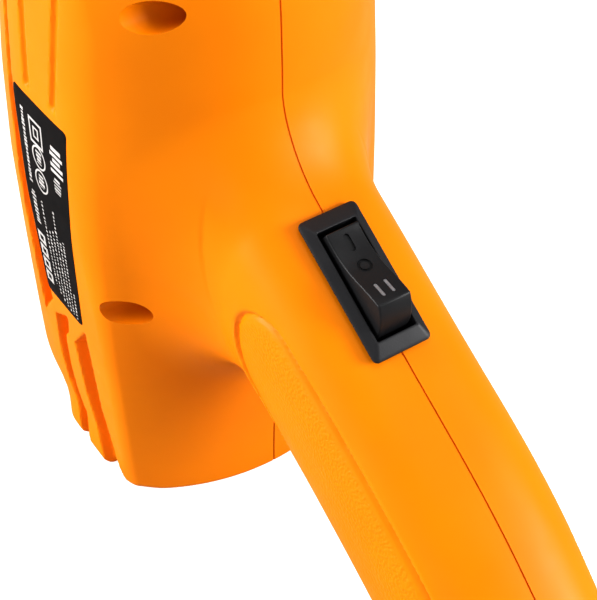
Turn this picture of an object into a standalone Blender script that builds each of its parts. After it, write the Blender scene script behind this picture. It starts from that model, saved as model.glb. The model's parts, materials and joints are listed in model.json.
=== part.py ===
"""Hand-held heat gun standing on its rear end, nozzle up.

Metres, +Z up.  The origin lies on the barrel axis in the plane of the rear rim.
+Z runs towards the nozzle, +X towards the handle, and Y = 0 is the parting plane.
"""
import math

import bmesh
import bpy
from mathutils import Matrix, Vector

MM = 0.001
GAP = 0.3
FIT = 0.2

# Barrel: height, front reach, half width, back reach, front arc radius, panel reach.
BARREL = (
    (0.0, 40.2, 33.6, 36.3, 57.0, 60.0),
    (1.2, 41.4, 34.8, 37.5, 57.0, 60.0),
    (12.0, 41.0, 35.6, 38.3, 57.0, 60.0),
    (30.0, 41.2, 36.6, 39.3, 56.0, 58.0),
    (55.0, 41.3, 37.8, 40.3, 54.0, 54.0),
    (80.0, 41.2, 38.8, 40.8, 50.0, 46.0),
    (105.0, 40.9, 38.5, 40.6, 46.5, 42.0),
    (125.0, 40.0, 37.2, 39.6, 44.0, 42.0),
    (142.0, 38.7, 35.9, 38.0, 43.0, 42.0),
    (152.0, 36.5, 34.6, 35.6, 39.0, 42.0),
    (159.0, 33.0, 32.6, 32.8, 35.0, 45.0),
    (164.0, 29.5, 29.5, 29.5, 31.0, 50.0),
    (167.0, 27.0, 27.0, 27.0, 27.0, 50.0),
)
BARREL_TOP = 167.0
BARREL_SIDES = 40
EDGE_BLEND = 1.5

# Handle: front point (x, z), rear point (x, z) and half width of each section.
HANDLE = (
    ((30.0, 125.0), (30.0, 33.0), 27.0),
    ((40.0, 121.5), (41.0, 36.0), 25.6),
    ((43.7, 113.7), (45.0, 43.5), 23.6),
    ((49.8, 104.6), (50.0, 49.0), 21.8),
    ((55.9, 99.6), (54.0, 50.5), 20.8),
    ((62.6, 96.8), (57.9, 49.6), 20.5),
    ((75.6, 90.2), (65.2, 46.5), 20.5),
    ((92.0, 81.7), (75.5, 42.1), 20.8),
    ((108.2, 74.0), (89.4, 36.0), 21.1),
    ((123.3, 65.3), (100.8, 29.9), 21.1),
    ((135.0, 56.5), (110.3, 23.5), 20.8),
    ((146.0, 48.0), (121.4, 15.9), 20.3),
    ((154.4, 41.9), (130.4, 10.3), 19.4),
    ((155.2, 39.6), (132.8, 10.2), 17.6),
)
HANDLE_SIDES = 32
HANDLE_POWER = 2.6
HANDLE_END_ANGLE = math.radians(37.3)

WALL = 2.4
REAR_WALL = 2.6
REAR_LIP = 8.0
MOUTH_RADIUS = 24.6

SWITCH_CENTRE = (71.3, 0.0, 93.28)
SWITCH_SLOPE = math.radians(26.84)
BEZEL_LENGTH = 32.6
BEZEL_WIDTH = 14.2
BEZEL_HEIGHT = 1.7
CASE_LENGTH = 26.8
CASE_WIDTH = 11.4
CASE_DEPTH = 17.0
WINDOW_LENGTH = 25.2
WINDOW_WIDTH = 9.0
PIVOT_DEPTH = 1.0
PIN_RADIUS = 1.0
PIN_REACH = 5.0
ROCKER_WIDTH = 7.8
ROCKER_RADIUS = 11.9
ROCKER_TOP = math.radians(52.8)
ROCKER_BOTTOM = math.radians(95.0)
ROCKER_HOLLOW = 5.45
ROCKER_THROW = math.radians(15.1)

SCREW_SPOTS = (
    ("upper_front", 30.6, 142.9, 28.0),
    ("lower_front", 29.6, 64.1, 31.0),
    ("upper_back", -29.0, 140.0, 26.0),
    ("lower_back", -29.0, 20.0, 24.0),
    ("handle", 127.6, 24.6, 17.0),
)
POCKET_RADIUS = 3.55
BOSS_RADIUS = 5.2
SEAT_Y = -13.0
SCREW_HEAD_RADIUS = 3.2
SCREW_HEAD_HEIGHT = 2.4
SCREW_RADIUS = 1.6
SCREW_REACH = 12.0

TUBE_RADIUS = 21.0
TUBE_WALL = 1.0
TUBE_BASE = 150.0
TUBE_STEP = 216.0
TUBE_CONE = 226.0
TUBE_TOP = 248.0
OUTLET_RADIUS = 17.2

COLLAR_FOOT = 153.0
COLLAR_RADIUS = 27.0
COLLAR_RISE = 9.0

SLEEVE_RADIUS = 19.5
SLEEVE_WALL = 0.6
SLEEVE_LOW = 128.0
SLEEVE_TOP = 205.0
CORE_WIDTH = 30.4
CORE_THICK = 1.4
CORE_LENGTH = 68.0
CORE_MIDDLE = 167.0
COIL_RADIUS = 16.8
COIL_LOW = 140.0
COIL_LENGTH = 54.0
WIRE_RADIUS = 0.7
BASE_RADIUS = 18.5
BASE_LOW = 127.0
BASE_TOP = 132.5
BASE_HOLES = 8
BASE_HOLE_RADIUS = 3.0
BASE_HOLE_CIRCLE = 12.0
CUTOUT_LOW = 110.0
CUTOUT_TOP = 121.0
CUTOUT_RADIUS = 2.2
CUTOUT_OFFSET = 6.0

GUIDE_MOUTH = 34.6
GUIDE_THROAT = 22.0
GUIDE_WALL = 1.6
GUIDE_LOW = 101.5
GUIDE_TOP = 143.0

MOTOR_RADIUS = 17.0
MOTOR_WALL = 1.2
MOTOR_LOW = 38.0
MOTOR_TOP = 76.0
SHAFT_RADIUS = 1.4
SHAFT_LOW = 29.0
SHAFT_TOP = 98.4
ROTOR_RADIUS = 11.6
ROTOR_LOW = 46.0
ROTOR_TOP = 70.0
MAGNET_INNER = 12.3
MAGNET_OUTER = 15.5
MAGNET_LOW = 45.0
MAGNET_TOP = 71.0
MAGNET_HALF_ANGLE = math.radians(62.0)
MOUNT_RADIUS = 30.1
MOUNT_LOW = 46.0
MOUNT_HOLES = 6
MOUNT_HOLE_RADIUS = 4.3
MOUNT_HOLE_CIRCLE = 24.6
MOUNT_HOLE_TURN = 0.11

FAN_RADIUS = 29.5
FAN_HUB = 8.0
FAN_BORE = 1.7
FAN_LOW = 82.0
FAN_TOP = 97.6
FAN_BLADES = 9
BLADE_THICK = 1.0
BLADE_RISE = 14.0

BOARD_RADIUS = 16.5
BOARD_BORE = 4.5
BOARD_LOW = 24.0
BOARD_THICK = 1.6
DIODE_CIRCLE = 11.5
DIODE_RADIUS = 1.4
DIODE_HALF = 2.6
CAPACITOR_SIZE = (9.0, 17.0, 13.0)
CAPACITOR_CENTRE = (-27.0, 0.0, 34.0)

LEAD_RADIUS = 0.9

# Label corners on the side panel (x, z): back edge then front edge, low then high.
LABEL_BACK_EDGE = ((0.8, 48.8), (-5.2, 108.2))
LABEL_FRONT_EDGE = ((17.0, 50.1), (17.9, 110.2))
LABEL_THICK = 0.35

GRILLE_THICK = 2.4
SLIT_PITCH = 6.6
SLIT_WIDTH = 3.8
SLIT_FIELD = 25.5
HUB_RADIUS = 7.4

CORD_RADIUS = 3.25
CORD_BEND = 94.0
CORD_START = (128.0, 37.18)
CORD_STRAIGHT = 24.0
CORD_RUN = 26.0
BOOT_LENGTH = 34.0


def clear_scene():
    """Remove everything the start-up scene holds."""
    for obj in list(bpy.data.objects):
        bpy.data.objects.remove(obj, do_unlink=True)


def material(name, colour, roughness, metallic=0.0):
    """Return a Principled material of one colour."""
    mat = bpy.data.materials.new(name)
    mat.use_nodes = True
    shader = mat.node_tree.nodes["Principled BSDF"]
    shader.inputs["Base Color"].default_value = (*colour, 1.0)
    shader.inputs["Roughness"].default_value = roughness
    shader.inputs["Metallic"].default_value = metallic
    return mat


def add_object(name, bm, mat, smooth=True):
    """Turn a bmesh in millimetres into a named object in metres."""
    bmesh.ops.scale(bm, vec=(MM, MM, MM), verts=bm.verts)
    bmesh.ops.recalc_face_normals(bm, faces=bm.faces)
    mesh = bpy.data.meshes.new(name)
    bm.to_mesh(mesh)
    bm.free()
    for face in mesh.polygons:
        face.use_smooth = smooth
    obj = bpy.data.objects.new(name, mesh)
    bpy.context.collection.objects.link(obj)
    if mat is not None:
        obj.data.materials.append(mat)
    return obj


def boolean(obj, other, operation, keep=False):
    """Apply an exact Boolean and remove the tool unless it is kept."""
    other.hide_render = True
    other.display_type = 'WIRE'
    mod = obj.modifiers.new("boolean", 'BOOLEAN')
    mod.operation = operation
    mod.solver = 'EXACT'
    mod.object = other
    graph = bpy.context.evaluated_depsgraph_get()
    made = bpy.data.meshes.new_from_object(obj.evaluated_get(graph))
    obj.modifiers.clear()
    old = obj.data
    made.name = old.name
    obj.data = made
    bpy.data.meshes.remove(old)
    if not keep:
        bpy.data.objects.remove(other, do_unlink=True)


def cut(obj, *tools):
    """Take each tool away from the object."""
    for tool in tools:
        boolean(obj, tool, 'DIFFERENCE')


def join(obj, *others):
    """Fuse each other object into the first."""
    for other in others:
        boolean(obj, other, 'UNION')


def copy_of(obj, name):
    """Return an independent copy of an object."""
    twin = obj.copy()
    twin.data = obj.data.copy()
    twin.name = name
    twin.data.name = name
    bpy.context.collection.objects.link(twin)
    return twin


def tidy(obj, angle=math.radians(35.0)):
    """Merge coincident points and mark sharp edges for smooth shading."""
    bm = bmesh.new()
    bm.from_mesh(obj.data)
    bmesh.ops.remove_doubles(bm, verts=bm.verts, dist=0.000004)
    bmesh.ops.dissolve_degenerate(bm, edges=bm.edges, dist=0.000002)
    for edge in bm.edges:
        edge.smooth = not (edge.is_manifold and edge.calc_face_angle(0.0) > angle)
    bm.to_mesh(obj.data)
    bm.free()


def skin(rings, closed=False):
    """Skin a list of rings, capping both ends unless the list is a loop."""
    bm = bmesh.new()
    rows = [[bm.verts.new(point) for point in ring] for ring in rings]
    pairs = list(zip(rows, rows[1:]))
    if closed:
        pairs.append((rows[-1], rows[0]))
    for low, high in pairs:
        for k in range(len(low)):
            j = (k + 1) % len(low)
            bm.faces.new((low[k], low[j], high[j], high[k]))
    if not closed:
        bm.faces.new(rows[0][::-1])
        bm.faces.new(rows[-1])
    return bm


def circle(radius, z, sides, centre=(0.0, 0.0)):
    """Return a level ring of points."""
    step = 2.0 * math.pi / sides
    return [Vector((centre[0] + radius * math.cos(k * step),
                    centre[1] + radius * math.sin(k * step), z)) for k in range(sides)]


def turned(name, profile, mat, sides=32, hollow=False):
    """Turn a profile of (radius, z) pairs about Z; a hollow profile is a closed loop."""
    rings = [circle(radius, z, sides) for radius, z in profile]
    return add_object(name, skin(rings, closed=hollow), mat)


def box(name, size, centre, mat=None, turn=None):
    """Return a box of the given size, turned by a matrix about its centre."""
    bm = bmesh.new()
    bmesh.ops.create_cube(bm, size=1.0)
    bmesh.ops.scale(bm, vec=size, verts=bm.verts)
    if turn is not None:
        bmesh.ops.transform(bm, matrix=turn, verts=bm.verts)
    bmesh.ops.translate(bm, vec=centre, verts=bm.verts)
    return add_object(name, bm, mat, smooth=False)


def cylinder_y(name, radius, x, z, y0, y1, mat=None, sides=24):
    """Return a cylinder along Y between two Y positions."""
    step = 2.0 * math.pi / sides
    rings = []
    for y in (y0, y1):
        rings.append([Vector((x + radius * math.cos(k * step), y,
                              z + radius * math.sin(k * step))) for k in range(sides)])
    return add_object(name, skin(rings), mat)


def rod(name, start, end, radius, mat=None, sides=12):
    """Return a straight round rod between two points."""
    return sweep(name, [Vector(start), Vector(end)], [radius, radius], mat, sides=sides)


def path_frames(points):
    """Return a side and an up direction at each point of a path without twist."""
    frames = []
    last = None
    for k, point in enumerate(points):
        before = points[max(k - 1, 0)]
        after = points[min(k + 1, len(points) - 1)]
        along = (after - before).normalized()
        guess = Vector((0.0, 1.0, 0.0)) if last is None else last
        if abs(guess.dot(along)) > 0.95:
            guess = Vector((1.0, 0.0, 0.0))
        side = (guess - along * guess.dot(along)).normalized()
        frames.append((side, along.cross(side)))
        last = side
    return frames


def sweep_rings(points, radii, sides):
    """Return round rings of the given radii along a path."""
    rings = []
    step = 2.0 * math.pi / sides
    for point, radius, (side, up) in zip(points, radii, path_frames(points)):
        rings.append([point + side * (radius * math.cos(k * step))
                      + up * (radius * math.sin(k * step)) for k in range(sides)])
    return rings


def sweep(name, points, radii, mat, sides=12, bore=None):
    """Sweep a round section along a path, with a bore if a radius is given."""
    rings = sweep_rings(points, radii, sides)
    if bore is None:
        return add_object(name, skin(rings), mat)
    inner = sweep_rings(points, [bore] * len(points), sides)
    return add_object(name, skin(rings + inner[::-1], closed=True), mat)


def smooth_path(knots, steps):
    """Return a Catmull-Rom path through the knots."""
    knots = [Vector(k) for k in knots]
    ends = [knots[0] * 2.0 - knots[1]] + knots + [knots[-1] * 2.0 - knots[-2]]
    path = []
    for a, b, c, d in zip(ends, ends[1:], ends[2:], ends[3:]):
        for k in range(steps):
            t = k / steps
            path.append(0.5 * (2.0 * b + (c - a) * t + (2.0 * a - 5.0 * b + 4.0 * c - d) * t * t
                               + (3.0 * b - a - 3.0 * c + d) * t ** 3))
    path.append(knots[-1])
    return path


def barrel_row(z):
    """Interpolate the barrel dimensions at a height."""
    for low, high in zip(BARREL, BARREL[1:]):
        if z <= high[0]:
            share = (z - low[0]) / (high[0] - low[0])
            return [a + (b - a) * share for a, b in zip(low, high)]
    return list(BARREL[-1])


def barrel_radius(angle, row):
    """Return the barrel's reach in a direction, edges blended."""
    _, front, half, back, arc, reach = row
    c = math.cos(angle)
    s = math.sin(angle)
    shift = front - arc
    bow = shift * c + math.sqrt(max(arc ** 2 - (shift * s) ** 2, 1.0))
    if c >= 0.0:
        side = (abs(c / reach) ** 4 + abs(s / half) ** 4) ** -0.25
    else:
        side = ((c / back) ** 2 + (s / half) ** 2) ** -0.5
    least = min(bow, side)
    soft = math.exp((least - bow) / EDGE_BLEND) + math.exp((least - side) / EDGE_BLEND)
    return least - EDGE_BLEND * math.log(soft)


def barrel_ring(z, inset=0.0, level=None):
    """Return one ring of the barrel, pulled in by the inset."""
    row = barrel_row(z)
    height = z if level is None else level
    ring = []
    for k in range(BARREL_SIDES):
        angle = 2.0 * math.pi * k / BARREL_SIDES
        radius = barrel_radius(angle, row) - inset
        ring.append(Vector((radius * math.cos(angle), radius * math.sin(angle), height)))
    return ring


def handle_ring(front, rear, half, inset=0.0):
    """Return one superellipse ring of the handle in the plane of its two edge points."""
    top = Vector((front[0], 0.0, front[1]))
    low = Vector((rear[0], 0.0, rear[1]))
    centre = (top + low) * 0.5
    deep = (top - low).length * 0.5 - inset
    wide = half - inset
    axis = (top - low).normalized()
    ring = []
    for k in range(HANDLE_SIDES):
        angle = 2.0 * math.pi * k / HANDLE_SIDES
        c = math.cos(angle)
        s = math.sin(angle)
        up = math.copysign(abs(c) ** (2.0 / HANDLE_POWER), c) * deep
        out = math.copysign(abs(s) ** (2.0 / HANDLE_POWER), s) * wide
        ring.append(centre + axis * up + Vector((0.0, out, 0.0)))
    return ring


def handle_axis():
    """Return the outward direction of the handle's end."""
    return Vector((math.cos(HANDLE_END_ANGLE), 0.0, -math.sin(HANDLE_END_ANGLE)))


def outer_form(inset=0.0):
    """Return the solid outside form of the housing, pulled in by the inset."""
    rings = [barrel_ring(row[0], inset) for row in BARREL]
    barrel = add_object("form", skin(rings), None)
    rings = [handle_ring(*row, inset=inset) for row in HANDLE]
    handle = add_object("grip", skin(rings), None)
    join(barrel, handle)
    return barrel


def inner_form():
    """Return the solid form of the space inside the housing."""
    heights = [REAR_WALL] + [row[0] for row in BARREL[2:-1]] + [BARREL_TOP - 1.0]
    rings = [barrel_ring(z, WALL) for z in heights]
    barrel = add_object("space", skin(rings), None)
    rows = [handle_ring(*row, inset=WALL) for row in HANDLE[:-1]]
    back = handle_axis() * -WALL
    rows[-1] = [point + back * 0.6 for point in rows[-1]]
    handle = add_object("grip_space", skin(rows), None)
    join(barrel, handle)
    return barrel


def switch_turn():
    """Return the rotation that lays a piece in the switch's tilted plane."""
    return Matrix.Rotation(SWITCH_SLOPE, 4, 'Y')


def switch_point(along, across, up):
    """Return a point given in the switch's own directions."""
    local = Vector((along, across, up))
    return Vector(SWITCH_CENTRE) + switch_turn().to_3x3() @ local


def switch_box(name, length, width, low, high, mat=None, along=0.0):
    """Return a box in the switch's tilted plane between two heights."""
    centre = switch_point(along, 0.0, (low + high) * 0.5)
    return box(name, (length, width, high - low), centre, mat, switch_turn())


def pocket_tools(x, z):
    """Return the head pocket and the shank hole of one housing screw."""
    head = cylinder_y("pocket", POCKET_RADIUS, x, z, -60.0, SEAT_Y)
    shank = cylinder_y("shank", SCREW_RADIUS + FIT, x, z, SEAT_Y - 1.0, SCREW_REACH + 1.0)
    return head, shank


def boss_posts():
    """Return the screw posts clipped inside the housing wall."""
    posts = None
    for _, x, z, reach in SCREW_SPOTS:
        post = cylinder_y("post", BOSS_RADIUS, x, z, -reach - 8.0, reach + 8.0)
        if posts is None:
            posts = post
        else:
            join(posts, post)
    boolean(posts, outer_form(WALL * 0.4), 'INTERSECT')
    return posts


def rib_ring(name, z, inner, thick=2.0):
    """Return a stiffening wall across the barrel with a round hole."""
    rings = [barrel_ring(z, WALL - 0.6, level=z), barrel_ring(z, WALL - 0.6, level=z + thick)]
    rib = add_object(name, skin(rings), None)
    cut(rib, turned("hole", ((inner, z - 5.0), (inner, z + thick + 5.0)), None, sides=40))
    return rib


def housing(mat):
    """Build both housing halves with bosses, ribs, openings and pockets."""
    posts = boss_posts()
    shell = outer_form()
    cut(shell, inner_form())
    join(shell, posts)
    join(shell, rib_ring("tube_rib", 146.4, 22.6))
    join(shell, rib_ring("motor_rib", 47.5, 30.5))
    rear = [barrel_ring(0.0, REAR_LIP, level=-2.0), barrel_ring(0.0, REAR_LIP, level=REAR_WALL + 2.0)]
    cut(shell, add_object("intake", skin(rear), None))
    cut(shell, turned("mouth", ((MOUTH_RADIUS, 150.0), (MOUTH_RADIUS, 190.0)), None, sides=48))
    cut(shell, switch_box("seat", 36.0, 17.2, 0.0, 9.0))
    cut(shell, switch_box("panel_hole", CASE_LENGTH + 0.9, CASE_WIDTH + 0.8, -20.0, 2.0))
    mid = Vector((143.0, 0.0, 25.8))
    axis = handle_axis()
    cut(shell, rod("cord_hole", mid - axis * 9.0, mid + axis * 16.0, 6.8, sides=24))
    for _, x, z, _reach in SCREW_SPOTS:
        cut(shell, *pocket_tools(x, z))
    right = copy_of(shell, "housing_right")
    shell.name = "housing_left"
    shell.data.name = "housing_left"
    cut(shell, box("near", (500.0, 100.0, 500.0), (60.0, 50.0 - GAP * 0.5, 80.0)))
    cut(right, box("far", (500.0, 100.0, 500.0), (60.0, -50.0 + GAP * 0.5, 80.0)))
    for half in (shell, right):
        half.data.materials.clear()
        half.data.materials.append(mat)
        tidy(half)
    return shell, right


def housing_screws(mat):
    """Build the screws that hold the halves together."""
    for spot, x, z, _reach in SCREW_SPOTS:
        head_low = SEAT_Y - SCREW_HEAD_HEIGHT - 0.05
        screw = cylinder_y("housing_screw_" + spot, SCREW_HEAD_RADIUS, x, z,
                           head_low, SEAT_Y - 0.05, mat)
        join(screw, cylinder_y("stem", SCREW_RADIUS, x, z, SEAT_Y - 0.6, SCREW_REACH, sides=16))
        cut(screw, box("slot_a", (4.0, 2.4, 0.9), (x, head_low, z)))
        cut(screw, box("slot_b", (0.9, 2.4, 4.0), (x, head_low, z)))
        screw.data.materials.clear()
        screw.data.materials.append(mat)
        tidy(screw)


def switch_frame(mat):
    """Build the moulded bezel and case of the rocker switch."""
    half_l = BEZEL_LENGTH * 0.5
    half_w = BEZEL_WIDTH * 0.5
    levels = ((0.0, FIT * 0.5), (0.0, 0.55), (2.2, BEZEL_HEIGHT))
    rings = []
    for inset, height in levels:
        rings.append([switch_point(sx * (half_l - inset), sy * (half_w - inset * 0.85), height)
                      for sx, sy in ((-1, -1), (1, -1), (1, 1), (-1, 1))])
    frame = add_object("switch_frame", skin(rings), mat, smooth=False)
    join(frame, switch_box("case", CASE_LENGTH, CASE_WIDTH, -CASE_DEPTH, 0.4))
    cut(frame, switch_box("window", WINDOW_LENGTH, WINDOW_WIDTH, -7.0, 9.0))
    turn = switch_turn()
    bm = bmesh.new()
    bmesh.ops.create_cone(bm, cap_ends=True, segments=16, radius1=PIN_RADIUS + FIT,
                          radius2=PIN_RADIUS + FIT, depth=2.0 * (PIN_REACH + FIT))
    bmesh.ops.transform(bm, matrix=turn @ Matrix.Rotation(math.pi / 2, 4, 'X'), verts=bm.verts)
    bmesh.ops.translate(bm, vec=switch_point(0.0, 0.0, -PIVOT_DEPTH), verts=bm.verts)
    cut(frame, add_object("pin_hole", bm, None))
    frame.data.materials.clear()
    frame.data.materials.append(mat)
    tidy(frame)
    return frame


def rocker_outline():
    """Return the rocker's side profile about its pivot, in its middle position."""
    profile = []
    for k in range(7):
        angle = -ROCKER_TOP + 2.0 * ROCKER_TOP * k / 6.0
        edge = ROCKER_RADIUS * math.sin(ROCKER_TOP)
        along = edge * math.sin(angle) / math.sin(ROCKER_TOP)
        share = (along / edge) ** 2
        rise = ROCKER_RADIUS * math.cos(ROCKER_TOP)
        profile.append((along, ROCKER_HOLLOW + (rise - ROCKER_HOLLOW) * share))
    for k in range(1, 4):
        angle = ROCKER_TOP + (ROCKER_BOTTOM - ROCKER_TOP) * k / 3.0
        profile.append((ROCKER_RADIUS * math.sin(angle), ROCKER_RADIUS * math.cos(angle)))
    profile.append((5.0, -4.2))
    profile.append((-5.0, -4.2))
    for k in range(3, 0, -1):
        angle = ROCKER_TOP + (ROCKER_BOTTOM - ROCKER_TOP) * k / 3.0
        profile.append((-ROCKER_RADIUS * math.sin(angle), ROCKER_RADIUS * math.cos(angle)))
    return profile


def switch_rocker(mat):
    """Build the rocker with its upper end pressed in and its pivot at the origin."""
    pivot = switch_point(0.0, 0.0, -PIVOT_DEPTH)
    turn = switch_turn() @ Matrix.Rotation(-ROCKER_THROW, 4, 'Y')
    half = ROCKER_WIDTH * 0.5
    rings = [[turn.to_3x3() @ Vector((a, y, b)) for a, b in rocker_outline()]
             for y in (-half, half)]
    rocker = add_object("switch_rocker", skin(rings), mat, smooth=False)
    pin = [Vector((0.0, -PIN_REACH, 0.0)), Vector((0.0, PIN_REACH, 0.0))]
    join(rocker, sweep("pin", pin, [PIN_RADIUS] * 2, None, sides=16))
    rocker.data.materials.clear()
    rocker.data.materials.append(mat)
    rocker.location = pivot * MM
    tidy(rocker)
    return rocker


def switch_terminals(mat):
    """Build the three blade terminals under the switch case."""
    for k, along in enumerate((-8.6, 0.0, 8.6)):
        name = "switch_terminal_%d" % (k + 1)
        switch_box(name, 0.8, 6.3, -CASE_DEPTH - 7.6, -CASE_DEPTH - FIT, mat, along)


def nozzle_tube(mat):
    """Build the stepped steel tube with its foot flange and rolled lip."""
    r = TUBE_RADIUS
    w = TUBE_WALL
    outer = ((r + 3.0, TUBE_BASE), (r + 3.0, TUBE_BASE + w), (r, TUBE_BASE + w + 0.6),
             (r, TUBE_STEP - 2.0), (r - 0.6, TUBE_STEP), (OUTLET_RADIUS + 0.4, TUBE_CONE),
             (OUTLET_RADIUS, TUBE_CONE + 1.5), (OUTLET_RADIUS, TUBE_TOP - 2.6),
             (OUTLET_RADIUS + 0.8, TUBE_TOP - 1.8), (OUTLET_RADIUS + 0.8, TUBE_TOP - 0.6),
             (OUTLET_RADIUS + 0.2, TUBE_TOP))
    inner = ((OUTLET_RADIUS - w, TUBE_TOP - 0.4), (OUTLET_RADIUS - w, TUBE_CONE + 1.5),
             (OUTLET_RADIUS + 0.4 - w, TUBE_CONE), (r - 0.6 - w, TUBE_STEP),
             (r - w, TUBE_STEP - 2.0), (r - w, TUBE_BASE))
    tube = turned("nozzle_tube", outer + inner, mat, sides=36, hollow=True)
    tidy(tube)


def front_collar(mat):
    """Build the black heat guard that closes the front of the housing."""
    seat = MOUTH_RADIUS - GAP
    bore = TUBE_RADIUS + GAP
    low = BARREL_TOP + GAP
    top = BARREL_TOP + COLLAR_RISE
    r = COLLAR_RADIUS
    profile = ((bore, COLLAR_FOOT), (seat, COLLAR_FOOT), (seat, low), (r - 0.4, low),
               (r, low + 0.7), (r - 0.6, top - 2.0), (r - 1.8, top), (bore, top))
    tidy(turned("front_collar", profile, mat, sides=40, hollow=True))


def air_holes(obj, count, start, circle_radius, radius, low, high, sides, mat):
    """Cut a ring of air holes through a level plate and give it one material."""
    for k in range(count):
        angle = start + 2.0 * math.pi * k / count
        centre = (circle_radius * math.cos(angle), circle_radius * math.sin(angle))
        rings = [circle(radius, z, sides, centre) for z in (low, high)]
        cut(obj, add_object("air_hole", skin(rings), None))
    obj.data.materials.clear()
    obj.data.materials.append(mat)
    tidy(obj)


def heater(sleeve_mat, ceramic_mat, wire_mat, steel_mat):
    """Build the mica sleeve, cross former, two heating coils, base and cut-out."""
    inside = SLEEVE_RADIUS - SLEEVE_WALL
    sleeve = ((SLEEVE_RADIUS, SLEEVE_LOW), (SLEEVE_RADIUS, SLEEVE_TOP), (inside, SLEEVE_TOP),
              (inside, SLEEVE_LOW))
    tidy(turned("mica_sleeve", sleeve, sleeve_mat, sides=36, hollow=True))
    middle = (0.0, 0.0, CORE_MIDDLE)
    core = box("heater_core", (CORE_WIDTH, CORE_THICK, CORE_LENGTH), middle, ceramic_mat)
    join(core, box("blade", (CORE_THICK, CORE_WIDTH, CORE_LENGTH), middle))
    tidy(core)
    for name, phase in (("heater_coil_low", 0.0), ("heater_coil_high", math.pi)):
        heating_coil(name, phase, wire_mat)
    base = turned("heater_base", ((BASE_RADIUS, BASE_LOW), (BASE_RADIUS, BASE_TOP)),
                  ceramic_mat, sides=36)
    air_holes(base, BASE_HOLES, math.pi / BASE_HOLES, BASE_HOLE_CIRCLE, BASE_HOLE_RADIUS,
              BASE_LOW - 2.0, BASE_TOP + 1.5, 12, ceramic_mat)
    thermal_cutout(steel_mat)


def thermal_cutout(mat):
    """Build the cut-out under the heater with its two straight leads."""
    x = CUTOUT_OFFSET
    cutout = rod("thermal_cutout", (x, 0.0, CUTOUT_LOW), (x, 0.0, CUTOUT_TOP), CUTOUT_RADIUS, mat)
    join(cutout, rod("lead", (x, 0.0, CUTOUT_LOW - 4.0), (x, 0.0, CUTOUT_TOP + 4.5), 0.5, sides=8))
    cutout.data.materials.clear()
    cutout.data.materials.append(mat)
    tidy(cutout)


def heating_coil(name, phase, mat, turns=5, per_turn=14):
    """Wind one resistance wire round the cross former."""
    count = turns * per_turn
    points = []
    for k in range(count + 1):
        angle = phase + 2.0 * math.pi * k / per_turn
        points.append(Vector((COIL_RADIUS * math.cos(angle), COIL_RADIUS * math.sin(angle),
                              COIL_LOW + COIL_LENGTH * k / count)))
    sweep(name, points, [WIRE_RADIUS] * len(points), mat, sides=5)


def air_guide(mat):
    """Build the funnel that leads the fan's air into the heater."""
    mouth = GUIDE_MOUTH
    throat = GUIDE_THROAT
    wall = GUIDE_WALL
    outer = ((mouth, GUIDE_LOW), (mouth, GUIDE_LOW + 3.5), (throat, GUIDE_TOP - 22.0),
             (throat, GUIDE_TOP))
    inner = ((throat - wall, GUIDE_TOP), (throat - wall, GUIDE_TOP - 22.4),
             (mouth - wall, GUIDE_LOW + 2.9), (mouth - wall, GUIDE_LOW))
    tidy(turned("air_guide", outer + inner, mat, sides=32, hollow=True))


def motor(can_mat, rotor_mat, magnet_mat, plastic_mat):
    """Build the motor can, end cap, armature on its shaft, magnets and mount."""
    r = MOTOR_RADIUS
    inside = r - MOTOR_WALL
    top = MOTOR_TOP
    can = ((r, MOTOR_LOW), (r, top), (4.0, top), (4.0, top - 1.4), (inside, top - 1.4),
           (inside, MOTOR_LOW))
    tidy(turned("motor_can", can, can_mat, sides=32, hollow=True))
    rim = MOTOR_LOW - GAP
    foot = MOTOR_LOW - 5.0
    bore = SHAFT_RADIUS + GAP
    cap = ((bore, foot), (r * 0.47, foot), (r, foot + 2.0), (r, rim), (inside - 0.4, rim),
           (inside - 0.4, rim - 1.3), (bore, rim - 1.3))
    tidy(turned("motor_end_cap", cap, plastic_mat, sides=32, hollow=True))
    armature(rotor_mat)
    for name, middle in (("magnet_a", 0.0), ("magnet_b", math.pi)):
        magnet(name, middle, magnet_mat)
    sleeve = r + GAP
    low = MOUNT_LOW
    mount = ((sleeve, low), (MOUNT_RADIUS, low), (MOUNT_RADIUS, low + 4.0),
             (sleeve + 1.9, low + 4.0), (sleeve + 1.9, low + 14.0), (sleeve, low + 14.0))
    plate = turned("motor_mount", mount, plastic_mat, sides=36, hollow=True)
    air_holes(plate, MOUNT_HOLES, MOUNT_HOLE_TURN, MOUNT_HOLE_CIRCLE, MOUNT_HOLE_RADIUS,
              low - 2.0, low + 6.0, 11, plastic_mat)


def armature(mat):
    """Build the shaft with its commutator and lamination stack."""
    commutator = 4.2
    shaft = SHAFT_RADIUS
    rotor = ((shaft, SHAFT_LOW), (shaft, MOTOR_LOW + 1.0), (commutator, MOTOR_LOW + 1.3),
             (commutator, ROTOR_LOW), (ROTOR_RADIUS, ROTOR_LOW + 0.3), (ROTOR_RADIUS, ROTOR_TOP),
             (shaft, ROTOR_TOP + 0.3), (shaft, SHAFT_TOP))
    tidy(turned("motor_armature", rotor, mat, sides=24))


def magnet(name, middle, mat, steps=8):
    """Build one arc magnet lining the motor can."""
    rings = []
    for z in (MAGNET_LOW, MAGNET_TOP):
        ring = []
        for radius, order in ((MAGNET_OUTER, range(steps + 1)),
                              (MAGNET_INNER, range(steps, -1, -1))):
            for k in order:
                angle = middle + MAGNET_HALF_ANGLE * (2.0 * k / steps - 1.0)
                ring.append(Vector((radius * math.cos(angle), radius * math.sin(angle), z)))
        rings.append(ring)
    add_object(name, skin(rings), mat, smooth=False)


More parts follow.
